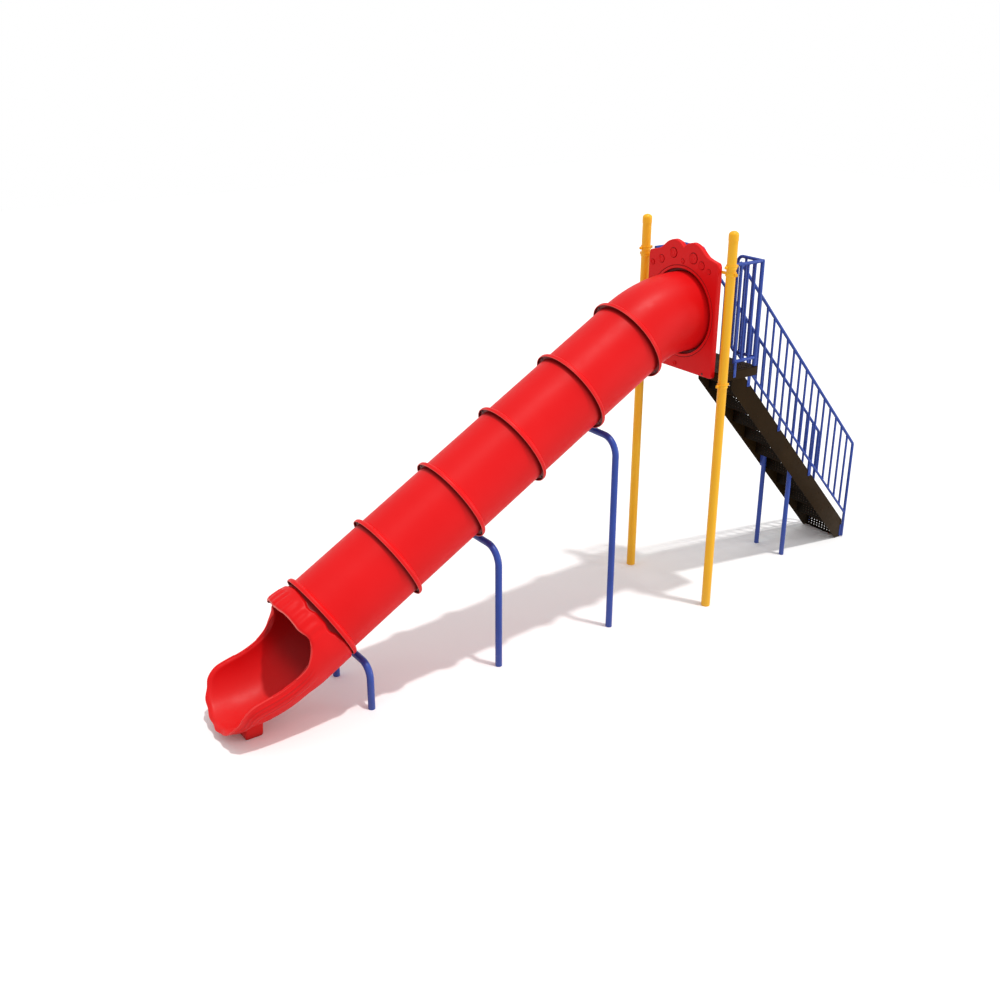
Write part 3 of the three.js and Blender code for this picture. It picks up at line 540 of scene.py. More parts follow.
tube = {
    "radius": 0.380,
    "wall": 0.008,
    "entryHeight": 2.940,
    "slope": math.radians(30.1501),
    "lead": 0.083,
    "bend": 1.103,
    "tail": 0.060,
    "section": 0.762,
    "sections": 5,
    "sides": 128,
}
tubeRadius, boreRadius = tube["radius"], tube["radius"] - tube["wall"]
postLow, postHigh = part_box("near_post")
postX = (postLow.x + postHigh.x) / 2
downhill = Vector((-math.cos(tube["slope"]), 0, -math.sin(tube["slope"])))
underside = Vector((math.sin(tube["slope"]), 0, -math.cos(tube["slope"])))
kneeReach = tube["bend"] * math.tan(tube["slope"] / 2)
knee = Vector((postX - tube["lead"] - kneeReach, 0, tube["entryHeight"]))
firstJoint = knee + downhill * (kneeReach + tube["tail"])


def jointAt(number):
    return firstJoint + downhill * tube["section"] * number


def onSlope(origin):
    return unitPlace(origin, axisY, underside, downhill)


# Straight sections with their bells and flanges

joint = {
    "flangeReach": 0.030,
    "flangeThick": 0.010,
    "flangeNeck": 0.020,
    "flangeRound": 0.003,
    "flangeSunk": 0.004,
    "bellReach": 0.043,
    "bellLip": 0.008,
    "bellLength": 0.053,
    "overhang": 0.031,
    "lipRound": 0.0065,
    "bolts": 10,
    "boltReach": 0.0165,
    "bolt": (0.0075, 0.007),
    "rings": (0.032, 0.044, 0.056, 0.068),
    "middle": (0.1, 0.66),
    "bore": -0.22,
    "boreMargin": 0.002,
    "lipMargin": 0.0012,
    "bellFrom": -0.003,
    "grime": -0.75,
    "paintedShadeEnds": (-0.002, 0.042),
    "worn": 0.45,
    "highlightRun": 0.007,
}
# The bell's profile from its root: shares of its reach outwards and of its length
bellShares = ((0, 0), (0.07, 0.012), (0.2, 0.042), (0.36, 0.09), (0.52, 0.145), (0.66, 0.205),
              (0.79, 0.28), (0.89, 0.365), (0.955, 0.46), (0.99, 0.56), (1, 0.66))
flangeRadius, bellRadius = tubeRadius + joint["flangeReach"], tubeRadius + joint["bellReach"]


# Profile of the swollen lower end, from its root to the joint face
def bellProfile(level):
    end, recess = level + joint["overhang"], bellRadius - joint["bellLip"]
    root = end - joint["bellLength"]
    swell = [(tubeRadius + joint["bellReach"] * out, root + joint["bellLength"] * down)
             for out, down in bellShares]
    nose = [swell.pop(), (bellRadius, end), (recess, end), (recess, level)]
    return swell + softened(nose, joint["lipRound"], 5, closed=False)


# Painted shade in the bore and in the recess of a joint, and a painted highlight on the pale lip;
# the level counts from the joint's face
def jointTone(radius, level):
    end = joint["overhang"]
    if radius < tubeRadius - joint["boreMargin"]:
        return joint["bore"]
    if radius > bellRadius - joint["bellLip"] + joint["lipMargin"]:
        return joint["worn"] * smooth(end - joint["highlightRun"], end, level)
    if level < joint["bellFrom"]:
        return 0.0
    return joint["grime"] * (1 - smooth(*(end + reach for reach in joint["paintedShadeEnds"]), level))


lower = tube["section"] - seatGap
middleHeights = [mix(*joint["middle"], k / 4) for k in range(5)]
flange = [(boreRadius, 0), (flangeRadius, 0), (flangeRadius, joint["flangeThick"]),
          (tubeRadius, joint["flangeThick"]), (tubeRadius, joint["flangeNeck"])]
profile = softened(flange, joint["flangeRound"], closed=False)
profile += [(tubeRadius, height) for height in (*joint["rings"], *middleHeights)]
profile += bellProfile(lower) + [(boreRadius, lower)]
profile += [(boreRadius, height) for height in reversed(middleHeights)]
for number in range(tube["sections"]):
    shell = Shell()
    # Painted shade in the bore and the recess, and a painted highlight on the bell's lip
    turned(shell, profile, tube["sides"], onSlope(jointAt(number) + downhill * seatGap),
           toneAt=lambda radius, height: jointTone(
               radius, height if height < lower / 2 else height - lower))
    finishPiece(shell, "moulded_red", f"tube_section_{number + 1}")
print("straight sections made")

# Bolts in the recess of every joint
shell = Shell()
for number in range(tube["sections"] + 1):
    for k in range(joint["bolts"]):
        angle = 2 * math.pi * (k + 0.5) / joint["bolts"]
        outward = axisY * math.cos(angle) + underside * math.sin(angle)
        seat = jointAt(number) + downhill * (joint["flangeThick"] + seatGap)
        seat += outward * (tubeRadius + joint["boltReach"])
        fasten(shell, hexBolt, *joint["bolt"], facing(seat, outward, downhill))
finishPiece(shell, "zinc_bolt", None, name="jointBolts")
print("joint bolts made")


# Entry elbow

elbow = {
    "panelBack": 0.0033,
    "collarReach": 0.052,
    "collarThick": 0.010,
    "collarRound": 0.003,
    "boreRound": 0.002,
    "bendSteps": 40,
}
rear = Vector((postX + elbow["panelBack"] + elbow["collarThick"], 0, tube["entryHeight"]))
axis = bentRun([rear, knee, firstJoint], tube["bend"], elbow["bendSteps"])
collar, thick, soft = tubeRadius + elbow["collarReach"], elbow["collarThick"], elbow["collarRound"]
# Rings round the collar, the bend and the bell, and back through the bore
rings = [(rear - axisX * back, -axisX, reach) for back, reach in (
    (0, collar - soft), (soft, collar), (thick, collar), (thick, tubeRadius + soft),
    (thick + soft, tubeRadius))]
rings += [(point, direction, tubeRadius) for point, direction in axis[1:-1]]
rings += [(firstJoint + downhill * height, downhill, radius) for radius, height in bellProfile(0)]
rings += [(point, direction, boreRadius) for point, direction in reversed(axis[1:])]
rings += [(rear - axisX * elbow["boreRound"], -axisX, boreRadius),
          (rear, -axisX, boreRadius + elbow["boreRound"])]
points, tones = [], []
for point, direction, radius in rings:
    # Painted shade in the bore and the bell's recess, and a painted highlight on its lip
    tones += [jointTone(radius, (point - firstJoint).dot(downhill))] * tube["sides"]
    inPlane = axisY.cross(direction).normalized()
    points += [point + axisY * x + inPlane * y for x, y in roundLoop(radius, tube["sides"])]
shell = Shell()
shell.add(points, gridFaces(len(rings), tube["sides"], True, True), None, tones)
finishPiece(shell, "moulded_red", "entry_elbow")
print("elbow made")


# Entry panel

panel = {
    "half": 0.473,
    "thick": 0.056,
    "front": -0.053,
    "foot": 2.374,
    "height": 1.234,
    "edge": 0.010,
    "hole": 0.386,
    "holeEdge": 0.0022,
    "corner": 0.028,
    "groove": 0.026,
    "grooveDepth": 0.026,
    "ringReach": 0.050,
    "ringRise": 0.004,
    "ringRound": 0.004,
    "line": 0.008,
    "lineDepth": 0.004,
    "roundRise": 0.0052,
    "roundDepth": 0.008,
    "lineOverlap": 0.0006,
    "roundOverlap": 0.0004,
    "insert": 0.055,
    "ringSides": 96,
    "roundSides": 36,
    "grime": -0.85,
    "paintedShadeEnds": (0.001, -0.006),
}
# Half of the outline, as shares of the half width and of the height
panelTopShares = (
    (0.0, 0.953), (0.077, 0.979), (0.156, 0.992), (0.262, 1.0), (0.35, 0.994), (0.447, 0.979),
    (0.53, 0.957), (0.6, 0.935), (0.68, 0.914), (0.79, 0.9), (0.89, 0.891), (0.955, 0.884),
    (0.99, 0.866), (1.0, 0.845),
)
# Each round's place, and its radius as a share of the half width
panelRoundShares = (
    (0.88, 0.79, 0.062), (0.62, 0.83, 0.086), (0.276, 0.897, 0.105), (0.0, 0.847, 0.052),
    (-0.30, 0.886, 0.115), (-0.535, 0.845, 0.086), (-0.745, 0.812, 0.056), (0.06, 0.037, 0.052),
)
# A round's face: shares of its radius inside the groove and of its rise
roundShares = ((1, 0.4), (0.94, 0.9), (0.86, 1), (0.74, 0.9), (0.66, 0.1), (0.4, 0.02), (0.34, 0.5),
               (0, 0.6))
grooveShare = 0.87
shell = Shell()
half, tall = panel["half"], panel["height"]
right = curveThrough([(a * half, b * tall) for a, b in panelTopShares], 5)
side = [(half, panelTopShares[-1][1] * tall), (half, 0), (0, 0)]
right += softened(side, panel["corner"], 6, closed=False)[1:-1]
outline = list(reversed(right + [Vector((-p.x, p.y)) for p in reversed(right[1:])]))
ringOuter = panel["hole"] + panel["ringReach"]
lineOuter = ringOuter + panel["line"]
holeCentre = (0, tube["entryHeight"] - panel["foot"])
cuts = [roundLoop(lineOuter - panel["lineOverlap"], panel["ringSides"], holeCentre)]
rounds = [((a * half, b * tall), reach * half) for a, b, reach in panelRoundShares]
cuts += [roundLoop(radius - panel["roundOverlap"], panel["roundSides"], centre)
         for centre, radius in rounds]


def onPanel(out, across, upward):
    return unitPlace(Vector((postX + panel["front"] + out, across, upward)), axisY, axisZ, -axisX)


# Painted shade in the grooves sunk below the panel's face
def sunkTone(radius, height):
    return panel["grime"] * smooth(*panel["paintedShadeEnds"], height)


plate(shell, outline, panel["thick"], panel["edge"], onPanel(panel["thick"], 0, panel["foot"]),
      cuts, 4, panel["holeEdge"])
# The ring round the hole stands between two grooves
inner, back, rise, sunk = panel["hole"], -panel["insert"], panel["ringRise"], -panel["grooveDepth"]
shelf = inner + panel["groove"]
ring = [(inner, back), (inner, sunk), (shelf, sunk), (shelf, rise), (ringOuter, rise),
        (ringOuter, -panel["lineDepth"]), (lineOuter, -panel["lineDepth"]), (lineOuter, back)]
turned(shell, softened(ring, panel["ringRound"], 4, closed=False), panel["ringSides"],
       onPanel(0, 0, tube["entryHeight"]), toneAt=sunkTone)
for (across, upward), radius in rounds:
    crown, low = radius * grooveShare, -panel["roundDepth"]
    face = [(0, back), (radius, back), (radius, low), (crown, low)]
    face += [(crown * out, panel["roundRise"] * up) for out, up in roundShares]
    turned(shell, face, panel["roundSides"], onPanel(0, across, panel["foot"] + upward),
           closed=False, toneAt=sunkTone)
finishPiece(shell, "moulded_red", "entry_panel", 28, True)
print("panel made")


# Exit section: a hood over an open trough with a rolled rim

exitPart = {
    "lead": 0.525,
    "bend": 0.723,
    "run": 0.220,
    "swell": 0.025,
    "bulge": 0.017,
    "bulgeEnds": (0.370, 0.570),
    "inset": 0.006,
    "troughEnds": (0.018, 0.058),
    "hoodStep": 0.235,
    "hoodWall": 0.011,
    "leastWall": 0.004,
    "boreBlend": 0.030,
    "hoodUpper": (0.2, 0.5),
    "stepUpper": (-0.45, 0.1),
    "openUpper": (0.0, 0.35),
    "wornUpper": (0.4, 0.8),
    "hoodLength": 0.256,
    "pockets": 10,
    "neckStart": 0.034,
    "neckGrowth": 0.024,
    "neckDegrees": (-4, 34, 72, 102),
    "pocketDepth": 0.018,
    "shoulderRun": 0.022,
    "shoulderShare": 0.46,
    "flute": 0.0052,
    "fluteDegrees": 13,
    "fluteFrom": 18,
    "fluteEnds": (0.08, 0.14),
    "hoodRound": 0.028,
    "hoodDrop": 0.015,
    "rimRoll": 0.004,
    "hoodRoll": 0.001,
    "hoodRollEnd": 0.3,
    "rimSwell": 0.0102,
    "rollSide": 0.028,
    "rollFront": 0.042,
    "rollCorner": 0.078,
    "frontDegrees": (48, 82),
    "cornerDegrees": (14, 40, 66, 88),
    "rollSlant": 0.7,
    "slantSoft": 0.006,
    "rollFrom": 0.25,
    "lipWall": 0.010,
    "creaseWave": 0.12,
    "creaseHighlightWidth": 0.008,
    "terraceRise": 0.008,
    "terraceSteps": ((0.036, 0.042), (0.074, 0.080)),
    "terraceEnd": (0.115, 0.175),
    "terraceFrom": (0.30, 0.48),
    "terraceUpper": (0.35, 0.75),
    "terraceLines": (0.050, 0.088, 0.125),
    "lineWidth": 0.009,
    "scallop": 0.010,
    "scallops": 15,
    "scallopDegrees": (62, 82),
    "rimReach": 0.39,
    "leastLength": 0.1,
    "spacing": 0.0065,
    "rows": 72,
    "innerRows": 60,
    "rimSteps": 10,
    "grime": -0.75,
    "paintedShadeEnds": (-0.010, 0.012),
    "worn": 0.95,
    "rimHighlight": 0.16,
    "highlightRun": 0.012,
    "terraceShade": -0.22,
    "creaseHighlight": 0.34,
    "bore": -0.55,
    "boreShadeEnds": (0.36, 0.62),
}
# The hood's edge and the rim: degrees from the top, and shares of the hood's or the exit's length
hoodEdgeShares = ((0, 1.059), (13, 1.027), (23, 0.994), (32, 0.999), (40, 1.016), (46, 1.033),
                  (53, 1.005), (59, 0.965), (65, 0.972), (70, 1.018))
rimShares = ((75.5, 0.254), (81.5, 0.293), (88.5, 0.361), (91.3, 0.439), (91.8, 0.523),
             (92.2, 0.603), (92.8, 0.7055), (95, 0.786), (99.5, 0.848), (108, 0.9), (121, 0.938),
             (132, 0.962), (144, 0.978), (161, 0.991), (180, 1.0))
exitStart = jointAt(tube["sections"])
exitLength = exitPart["lead"] + exitPart["bend"] * tube["slope"] + exitPart["run"]


def exitAxis(length):
    slope = tube["slope"]
    point = exitStart + downhill * min(length, exitPart["lead"])
    turn = min(max((length - exitPart["lead"]) / exitPart["bend"], 0), slope)
    left = slope - turn
    point.x -= exitPart["bend"] * (math.sin(slope) - math.sin(left))
    point.z -= exitPart["bend"] * (math.cos(left) - math.cos(slope))
    point.x -= max(length - exitPart["lead"] - exitPart["bend"] * slope, 0)
    return point, Vector((-math.sin(left), 0, math.cos(left)))


def exitPoint(length, angle, radius):
    point, upward = exitAxis(length)
    return point + upward * radius * math.cos(angle) - axisY * radius * math.sin(angle)


# Where the hood's shoulder begins: bolts sit in pockets that cut into it
def shoulderAt(angle):
    side = hill(exitPart["neckDegrees"], math.degrees(math.pi - abs(math.pi - angle)))
    pocket = max(math.cos(exitPart["pockets"] * angle), 0)
    growth = exitPart["neckGrowth"] + exitPart["pocketDepth"] * pocket
    return exitPart["neckStart"] + side * growth


# Outer and inner radius at a place on the exit; toEdge is how far its hood goes on from there
def exitRadii(length, angle, toEdge):
    upper = math.cos(angle)
    hood = smooth(*exitPart["hoodUpper"], upper)
    start, flangeEnd = shoulderAt(angle), joint["flangeThick"]
    shoulder = smooth(start, start + exitPart["shoulderRun"], length)
    slow = smooth(flangeEnd, flangeEnd + exitPart["hoodStep"], length)
    trough = smooth(*exitPart["troughEnds"], length)
    step = mix(trough, mix(slow, shoulder, exitPart["shoulderShare"]),
               smooth(*exitPart["stepUpper"], upper))
    bulge = exitPart["bulge"] * (1 - smooth(*exitPart["bulgeEnds"], length))
    outer = tubeRadius + (exitPart["swell"] + bulge) * step
    turn = 2 * math.pi * (math.degrees(angle) - exitPart["fluteFrom"]) / exitPart["fluteDegrees"]
    outer += exitPart["flute"] * math.cos(turn) * hood * smooth(*exitPart["fluteEnds"], length)
    inner = mix(boreRadius - exitPart["inset"], outer - exitPart["hoodWall"], hood)
    turn = 1 - min(toEdge / exitPart["hoodRound"], 1)
    outer -= hood * exitPart["hoodDrop"] * (1 - math.sqrt(1 - turn * turn))
    inner = min(inner, outer - exitPart["leastWall"])
    return outer, mix(boreRadius, inner, smooth(0, exitPart["boreBlend"], length))


# Half of the opening's edge as length and angle, evenly spaced
def openingEdge():
    edge = [(share * exitPart["hoodLength"], degrees) for degrees, share in hoodEdgeShares]
    edge += [(share * exitLength, degrees) for degrees, share in rimShares]
    reach = exitPart["rimReach"]
    fine = curveThrough([(length, math.radians(degrees) * reach) for length, degrees in edge], 14)
    spaced, travelled = [fine[0]], 0
    for before, after in zip(fine, fine[1:]):
        travelled += (after - before).length
        if travelled >= exitPart["spacing"]:
            spaced.append(after)
            travelled = 0
    spaced[-1] = fine[-1]
    return [(max(p.x, exitPart["leastLength"]), min(p.y / reach, math.pi)) for p in spaced]


# The scallops of the front lip shorten the trough a little
def scalloped(length, angle):
    around = abs(math.pi - angle)
    fade = 1 - smooth(*(math.radians(limit) for limit in exitPart["scallopDegrees"]), around)
    wave = 0.5 - 0.5 * math.cos(around * exitPart["scallops"])
    return length - exitPart["scallop"] * fade * wave


half = openingEdge()
edge = half + [(length, 2 * math.pi - angle) for length, angle in reversed(half[1:-1])]
edge = [(scalloped(length, angle), angle) for length, angle in edge]
edgePoints = [exitPoint(length, angle, sum(exitRadii(length, angle, 0)) / 2)
              for length, angle in edge]
edgeTree = KDTree(len(edgePoints))
for i, point in enumerate(edgePoints):
    edgeTree.insert(point, i)
edgeTree.balance()


# Terraces that run along the outside below the rim, with lines of painted shade below their steps
def terrace(point, length, angle):
    distance = edgeTree.find(point)[2]
    fade = smooth(*exitPart["terraceFrom"], length / exitLength)
    fade *= 1 - smooth(*exitPart["terraceUpper"], math.cos(angle))
    rise = sum(smooth(*ends, distance) for ends in exitPart["terraceSteps"])
    rise -= 2 * smooth(*exitPart["terraceEnd"], distance)
    lines = sum(math.exp(-((distance - at) / exitPart["lineWidth"]) ** 2)
                for at in exitPart["terraceLines"])
    return exitPart["terraceRise"] * rise * fade, exitPart["terraceShade"] * lines * fade


# The inner surface rolls outwards over the rim, from a wavy crease along the front lip; a painted
# highlight runs along the crease at the near corner
def rolled(point, angle, outer, inner):
    around = abs(math.pi - angle)
    degrees = math.degrees(around)
    front = 1 - smooth(*exitPart["frontDegrees"], degrees)
    corner = hill(exitPart["cornerDegrees"], degrees) if angle < math.pi else 0
    wave = 1 + exitPart["creaseWave"] * front * math.cos(around * exitPart["scallops"])
    widest = mix(exitPart["rollFront"], exitPart["rollCorner"], corner)
    width = mix(exitPart["rollSide"], widest, front) * wave
    distance = edgeTree.find(point)[2]
    left = 1 - min(distance / width, 1)
    opened = 1 - smooth(*exitPart["openUpper"], math.cos(angle))
    soft = exitPart["slantSoft"]
    slant = math.sqrt(left * left + soft) - math.sqrt(soft)
    fall = mix(1 - math.sqrt(1 - left * left), slant, exitPart["rollSlant"] * corner)
    pale = math.exp(-((distance - width) / exitPart["creaseHighlightWidth"]) ** 2)
    inner = mix(inner, outer - exitPart["lipWall"], opened * fall)
    return inner, exitPart["creaseHighlight"] * corner * pale


points, tones = [], []
for i, (length, angle) in enumerate(edge):
    hood = smooth(*exitPart["wornUpper"], math.cos(angle))
    paintedShadeEnds = [shoulderAt(angle) + reach for reach in exitPart["paintedShadeEnds"]]
    # Rows from the joint to the edge, closer together near the rim
    for r in range(exitPart["rows"] + 1):
        share = r / exitPart["rows"]
        here = length * (share if length < 0.4 else mix(share, share ** 0.85, 0.6))
        outer, inner = exitRadii(here, angle, length - here)
        rise, tone = terrace(exitPoint(here, angle, (outer + inner) / 2), here, angle)
        points.append(exitPoint(here, angle, outer + rise))
        # Painted shade on the neck between the bell's lip and the hood's shoulder
        tone += exitPart["grime"] * (1 - smooth(*paintedShadeEnds, here))
        # Painted highlight along the upper hood's edge
        tones.append(tone + exitPart["worn"] * hood * smooth(exitPart["highlightRun"], 0, length - here))
    outer, inner = exitRadii(length, angle, 0)
    inner = rolled(edgePoints[i], angle, outer, inner)[0]
    middle, rim = exitPoint(length, angle, (outer + inner) / 2), exitPoint(length, angle, outer)
    outward, halfWall = (rim - middle).normalized(), (rim - middle).length
    forward = edgePoints[(i + 1) % len(edge)] - edgePoints[i - 1]
    away = forward.cross(outward).normalized()
    if away.dot(rim - exitPoint(length - 0.05, angle, outer)) < 0:
        away = -away
    roll = exitPart["rimRoll" if length > exitPart["hoodRollEnd"] else "hoodRoll"]
    for k in range(1, exitPart["rimSteps"]):
        turn = math.pi * k / exitPart["rimSteps"]
        points.append(middle + outward * (halfWall + roll * math.sin(turn)) * math.cos(turn)
                      + away * min(halfWall, exitPart["rimSwell"]) * math.sin(turn))
        # Painted highlight on the rim, strongest on the upper hood
        tones.append(mix(exitPart["rimHighlight"], exitPart["worn"], hood))
    for r in range(exitPart["innerRows"], -1, -1):
        share = r / exitPart["innerRows"]
        here = length * mix(share, 1 - (1 - share) ** 2, 0.5)
        outer, inner = exitRadii(here, angle, length - here)
        pale = 0
        if here > exitPart["rollFrom"] * exitLength:
            inner, pale = rolled(exitPoint(here, angle, (outer + inner) / 2), angle, outer, inner)
        points.append(exitPoint(here, angle, inner))
        # Painted shade deep in the bore, and the painted highlight along the crease
        tones.append(exitPart["bore"] * (1 - smooth(*exitPart["boreShadeEnds"], here)) + pale)
shell = Shell()
shell.add(points, gridFaces(len(edge), len(points) // len(edge), True, True), None, tones)
# The flange in the hood's neck is painted in shade all round
flange = boxLoop(tubeRadius - joint["flangeSunk"], flangeRadius, 0, joint["flangeThick"])
turned(shell, softened(flange, joint["flangeRound"]), tube["sides"],
       onSlope(exitStart + downhill * seatGap), toneAt=lambda radius, height: joint["grime"])
finishPiece(shell, "moulded_red", "exit_section", 50)
print("exit made", len(edge), "columns")

# The moulded foot under the exit
exitFoot = {
    "edge": 0.012,
    "edgeEnd": 0.12,
    "corner": 0.0168,
    "taper": 0.86,
    "halfWidth": 0.199,
    "sunk": 0.006,
    "tone": -0.14,
    "groundTone": -0.55,
    "groundRun": 0.030,
}


# Height of the exit's underside above a place on the ground
def bellyHeight(x, y):
    low, high = 0.5 * exitLength, exitLength
    for attempt in range(24):
        middle = (low + high) / 2
        if exitAxis(middle)[0].x < x:
            high = middle
        else:
            low = middle
    outer = exitRadii(low, math.pi - math.asin(y / tubeRadius), 1)[0]
    return exitAxis(low)[0].z - math.sqrt(outer * outer - y * y)


low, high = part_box("exit_foot")
points = []
for share in (0, 0.04, exitFoot["edgeEnd"], 0.4, 0.7, 1):
    width = exitFoot["halfWidth"] * mix(exitFoot["taper"], 1, share)
    inset = exitFoot["edge"] * max(1 - share / exitFoot["edgeEnd"], 0) * 0.5
    across = [mix(inset - width, width - inset, k / 8) for k in range(9)]
    corners = [(high.x - inset, y) for y in across]
    corners += [(low.x + inset, y) for y in reversed(across)]
    loop = softened(corners, exitFoot["corner"], 4)
    points += [(p.x, p.y, share * (bellyHeight(p.x, p.y) + exitFoot["sunk"])) for p in loop]
# The top follows the belly inwards, out of sight
for share in (0.8, 0.6, 0.4, 0.2, 0.02):
    ring = [(mix((low.x + high.x) / 2, p.x, share), p.y * share) for p in loop]
    points += [(x, y, bellyHeight(x, y) + exitFoot["sunk"]) for x, y in ring]
# The foot is painted a little darker as shade, and darker still towards the ground as a painted
# contact shadow
tones = [mix(exitFoot["groundTone"], exitFoot["tone"], smooth(0, exitFoot["groundRun"], p[2]))
         for p in points]
shell = Shell()
shell.add(points, ringFaces(len(points) // len(loop), len(loop)), None, tones)
finishPiece(shell, "moulded_red", "exit_foot", 40)
print("exit foot made")


# Supports under the tube

support = {
    "radius": 0.03175,
    "reach": 0.366,
    "bend": 0.170,
    "tongue": 0.030,
    "lowerReach": 0.332,
    "lowerBend": 0.130,
    "strap": 0.008,
    "strapWidth": 0.050,
    "strapGap": 0.001,
    "strapDegrees": 22.5,
    "drop": 0.030,
    "webShare": 0.55,
    "edge": 0.0015,
    "bolt": (0.008, 0.006),
    "boltLevel": 0.020,
    "boltShares": (0.42, 0.82),
}
strapInner, strapThick = bellRadius + seatGap, support["strap"]
webReach = strapInner + strapThick + support["drop"]
spread = math.radians(support["strapDegrees"])


def strapArc(radius, steps=16):
    angles = [mix(-spread, spread, k / steps) for k in range(steps + 1)]
    return [(radius * math.sin(angle), -radius * math.cos(angle)) for angle in angles]


for name, number in (("upper", 1), ("middle", 3), ("lower", 5)):
    centre = jointAt(number) + underside * (webReach + seatGap + support["radius"])
    x, z = centre.x, centre.z
    if name == "lower":
        reach, bend, steps = support["lowerReach"], support["lowerBend"], 14
        corners = [(x, reach, 0), (x, reach, z), (x, -reach, z), (x, -reach, 0)]
    else:
        reach, bend, steps = support["reach"], support["bend"], 16
        corners = [(x, support["tongue"], z), (x, -reach, z), (x, -reach, 0)]
    shell = Shell()
    pipe(shell, bentRun(corners, bend, steps), support["radius"], 28, 0.06)
    finishPiece(shell, "blue_paint", f"{name}_support", 40)
    # The saddle: a strap under the bell, and a web down to the pipe
    shell = Shell()
    place = unitPlace(jointAt(number), -axisY, -underside, downhill)
    strap = strapArc(strapInner + support["strapGap"]) + strapArc(strapInner + strapThick)[::-1]
    plate(shell, strap, support["strapWidth"], support["edge"],
          place @ Matrix.Translation((0, 0, joint["overhang"] - support["strapWidth"])))
    roof = strapArc(strapInner + strapThick / 2)[::-1]
    low = roof[0][0] * support["webShare"]
    plate(shell, [(-low, -webReach), (low, -webReach)] + roof, strapThick, support["edge"],
          place @ Matrix.Translation((0, 0, -strapThick / 2)))
    for side in (-1, 1):
        for share in support["boltShares"]:
            angle = spread * share * side
            outward = place.to_3x3() @ Vector((math.sin(angle), -math.cos(angle), 0))
            seat = jointAt(number) + outward * (strapInner + strapThick)
            seat += downhill * support["boltLevel"]
            fasten(shell, hexBolt, *support["bolt"], facing(seat, downhill, outward))
    finishPiece(shell, "blue_paint", f"{name}_saddle", 30)
print("supports made")


# Posts, caps and clamps

post = {
    "spread": 1.168,
    "height": 3.780,
    "radius": 0.04445,
    "footRound": 0.002,
    "capRadius": 0.0472,
    "capSkirt": 0.052,
    "capRound": 0.001,
    "crown": 0.036,
    "rivetTurn": 0.6,
    "rivetLevel": 0.022,
    "rivetSunk": 0.0004,
    "rivet": (0.0035, 0.0022),
    "panelBolt": (0.0085, 0.0078),
    "sides": 48,
}
clamp = {
    "gap": 0.0005,
    "wall": 0.007,
    "height": 0.034,
    "bandRound": 0.0016,
    "earReach": 0.0297,
    "earThick": 0.013,
    "earRound": 0.007,
    "earEdge": 0.0012,
    "slot": 0.0006,
    "bolt": (0.0095, 0.0075),
    "guardLevel": 3.455,
    "panelLevel": 3.390,
    "deckLevel": 2.334,
    "panelEar": 0.0596,
}
# The band's profile: shares of its wall inwards and of half its height
bandShares = ((0, -1), (0, -0.62), (0.28, -0.5), (0.28, 0.5), (0, 0.62), (0, 1))


def clampRound(shell, centre, heading, reach):
    inner, tall, wall = post["radius"] + clamp["gap"], clamp["height"] / 2, clamp["wall"]
    outer, thick, slot = inner + wall, clamp["earThick"], clamp["slot"]
    band = [(outer - wall * deep, tall * level) for deep, level in bandShares]
    band = [(inner, -tall), *band, (inner, tall)]
    turned(shell, softened(band, clamp["bandRound"], 2), post["sides"], Matrix.Translation(centre))
    turn = Matrix.Rotation(heading, 3, "Z")
    along, outward = turn @ axisX, turn @ -axisY
    for sign, length in ((1, reach), (-1, clamp["earReach"])):
        ends = sorted(((outer - wall / 2) * sign, (outer + length) * sign))
        loop = softened(boxLoop(*ends, wall / 2 - tall, tall - wall / 2), clamp["earRound"], 4)
        for base in (-slot - thick / 2, slot):  # two leaves with a thin slot between them
            place = unitPlace(centre + outward * base, along, axisZ, outward)
            plate(shell, loop, thick / 2 - slot, clamp["earEdge"], place)
        for normal in (outward, -outward):
            seat = centre + along * sign * (outer + length - clamp["earReach"] / 2)
            place = facing(seat + normal * thick / 2, along, normal)
            fasten(shell, button, *clamp["bolt"], place)


for name, side in bothSides:
    foot = Vector((postX, side * post["spread"] / 2, 0))
    radius, top, soft = post["radius"], post["height"] - post["crown"], post["footRound"]
    profile = [(0, 0), (radius - soft, 0), (radius, soft)]
    profile += [(radius, mix(soft, top, k / 12)) for k in range(1, 13)] + [(0, top)]
    shell = Shell()
    turned(shell, profile, post["sides"], Matrix.Translation(foot), closed=False)
    finishPiece(shell, "yellow_paint", f"{name}_post", 40)
    lip, wide, soft = top - post["capSkirt"], post["capRadius"], post["capRound"]
    dome = [(radius - soft, lip), (wide - soft, lip), (wide, lip + soft), (wide, top)]
    for k in range(1, 13):
        angle = math.pi / 2 * k / 12
        dome.append((wide * math.cos(angle), top + post["crown"] * math.sin(angle)))
    shell = Shell()
    turned(shell, dome, post["sides"], Matrix.Translation(foot), closed=False)
    for angle in (post["rivetTurn"], post["rivetTurn"] + math.pi):  # rivets that hold the cap
        outward = Vector((math.cos(angle), math.sin(angle), 0))
        seat = foot + outward * (wide - post["rivetSunk"]) + axisZ * (lip + post["rivetLevel"])
        fasten(shell, button, *post["rivet"], facing(seat, axisZ, outward))
    finishPiece(shell, "yellow_paint", f"{name}_post_cap", 40)
    for held, heading, reach in (
        ("guard", 0, clamp["earReach"]),
        ("panel", -side * math.pi / 2, clamp["panelEar"]),
        ("deck", 0, clamp["earReach"]),
    ):
        shell = Shell()
        clampRound(shell, foot + axisZ * clamp[held + "Level"], heading, reach)
        finishPiece(shell, "yellow_paint", f"{name}_{held}_clamp", 34)
    low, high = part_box(f"{name}_panel_bolt")
    seat = Vector((high.x, (low.y + high.y) / 2, (low.z + high.z) / 2))
    shell = Shell()
    fasten(shell, button, *post["panelBolt"], unitPlace(seat, axisY, axisZ, -axisX))
    finishPiece(shell, "zinc_bolt", f"{name}_panel_bolt", 40)
print("posts made")


# Deck

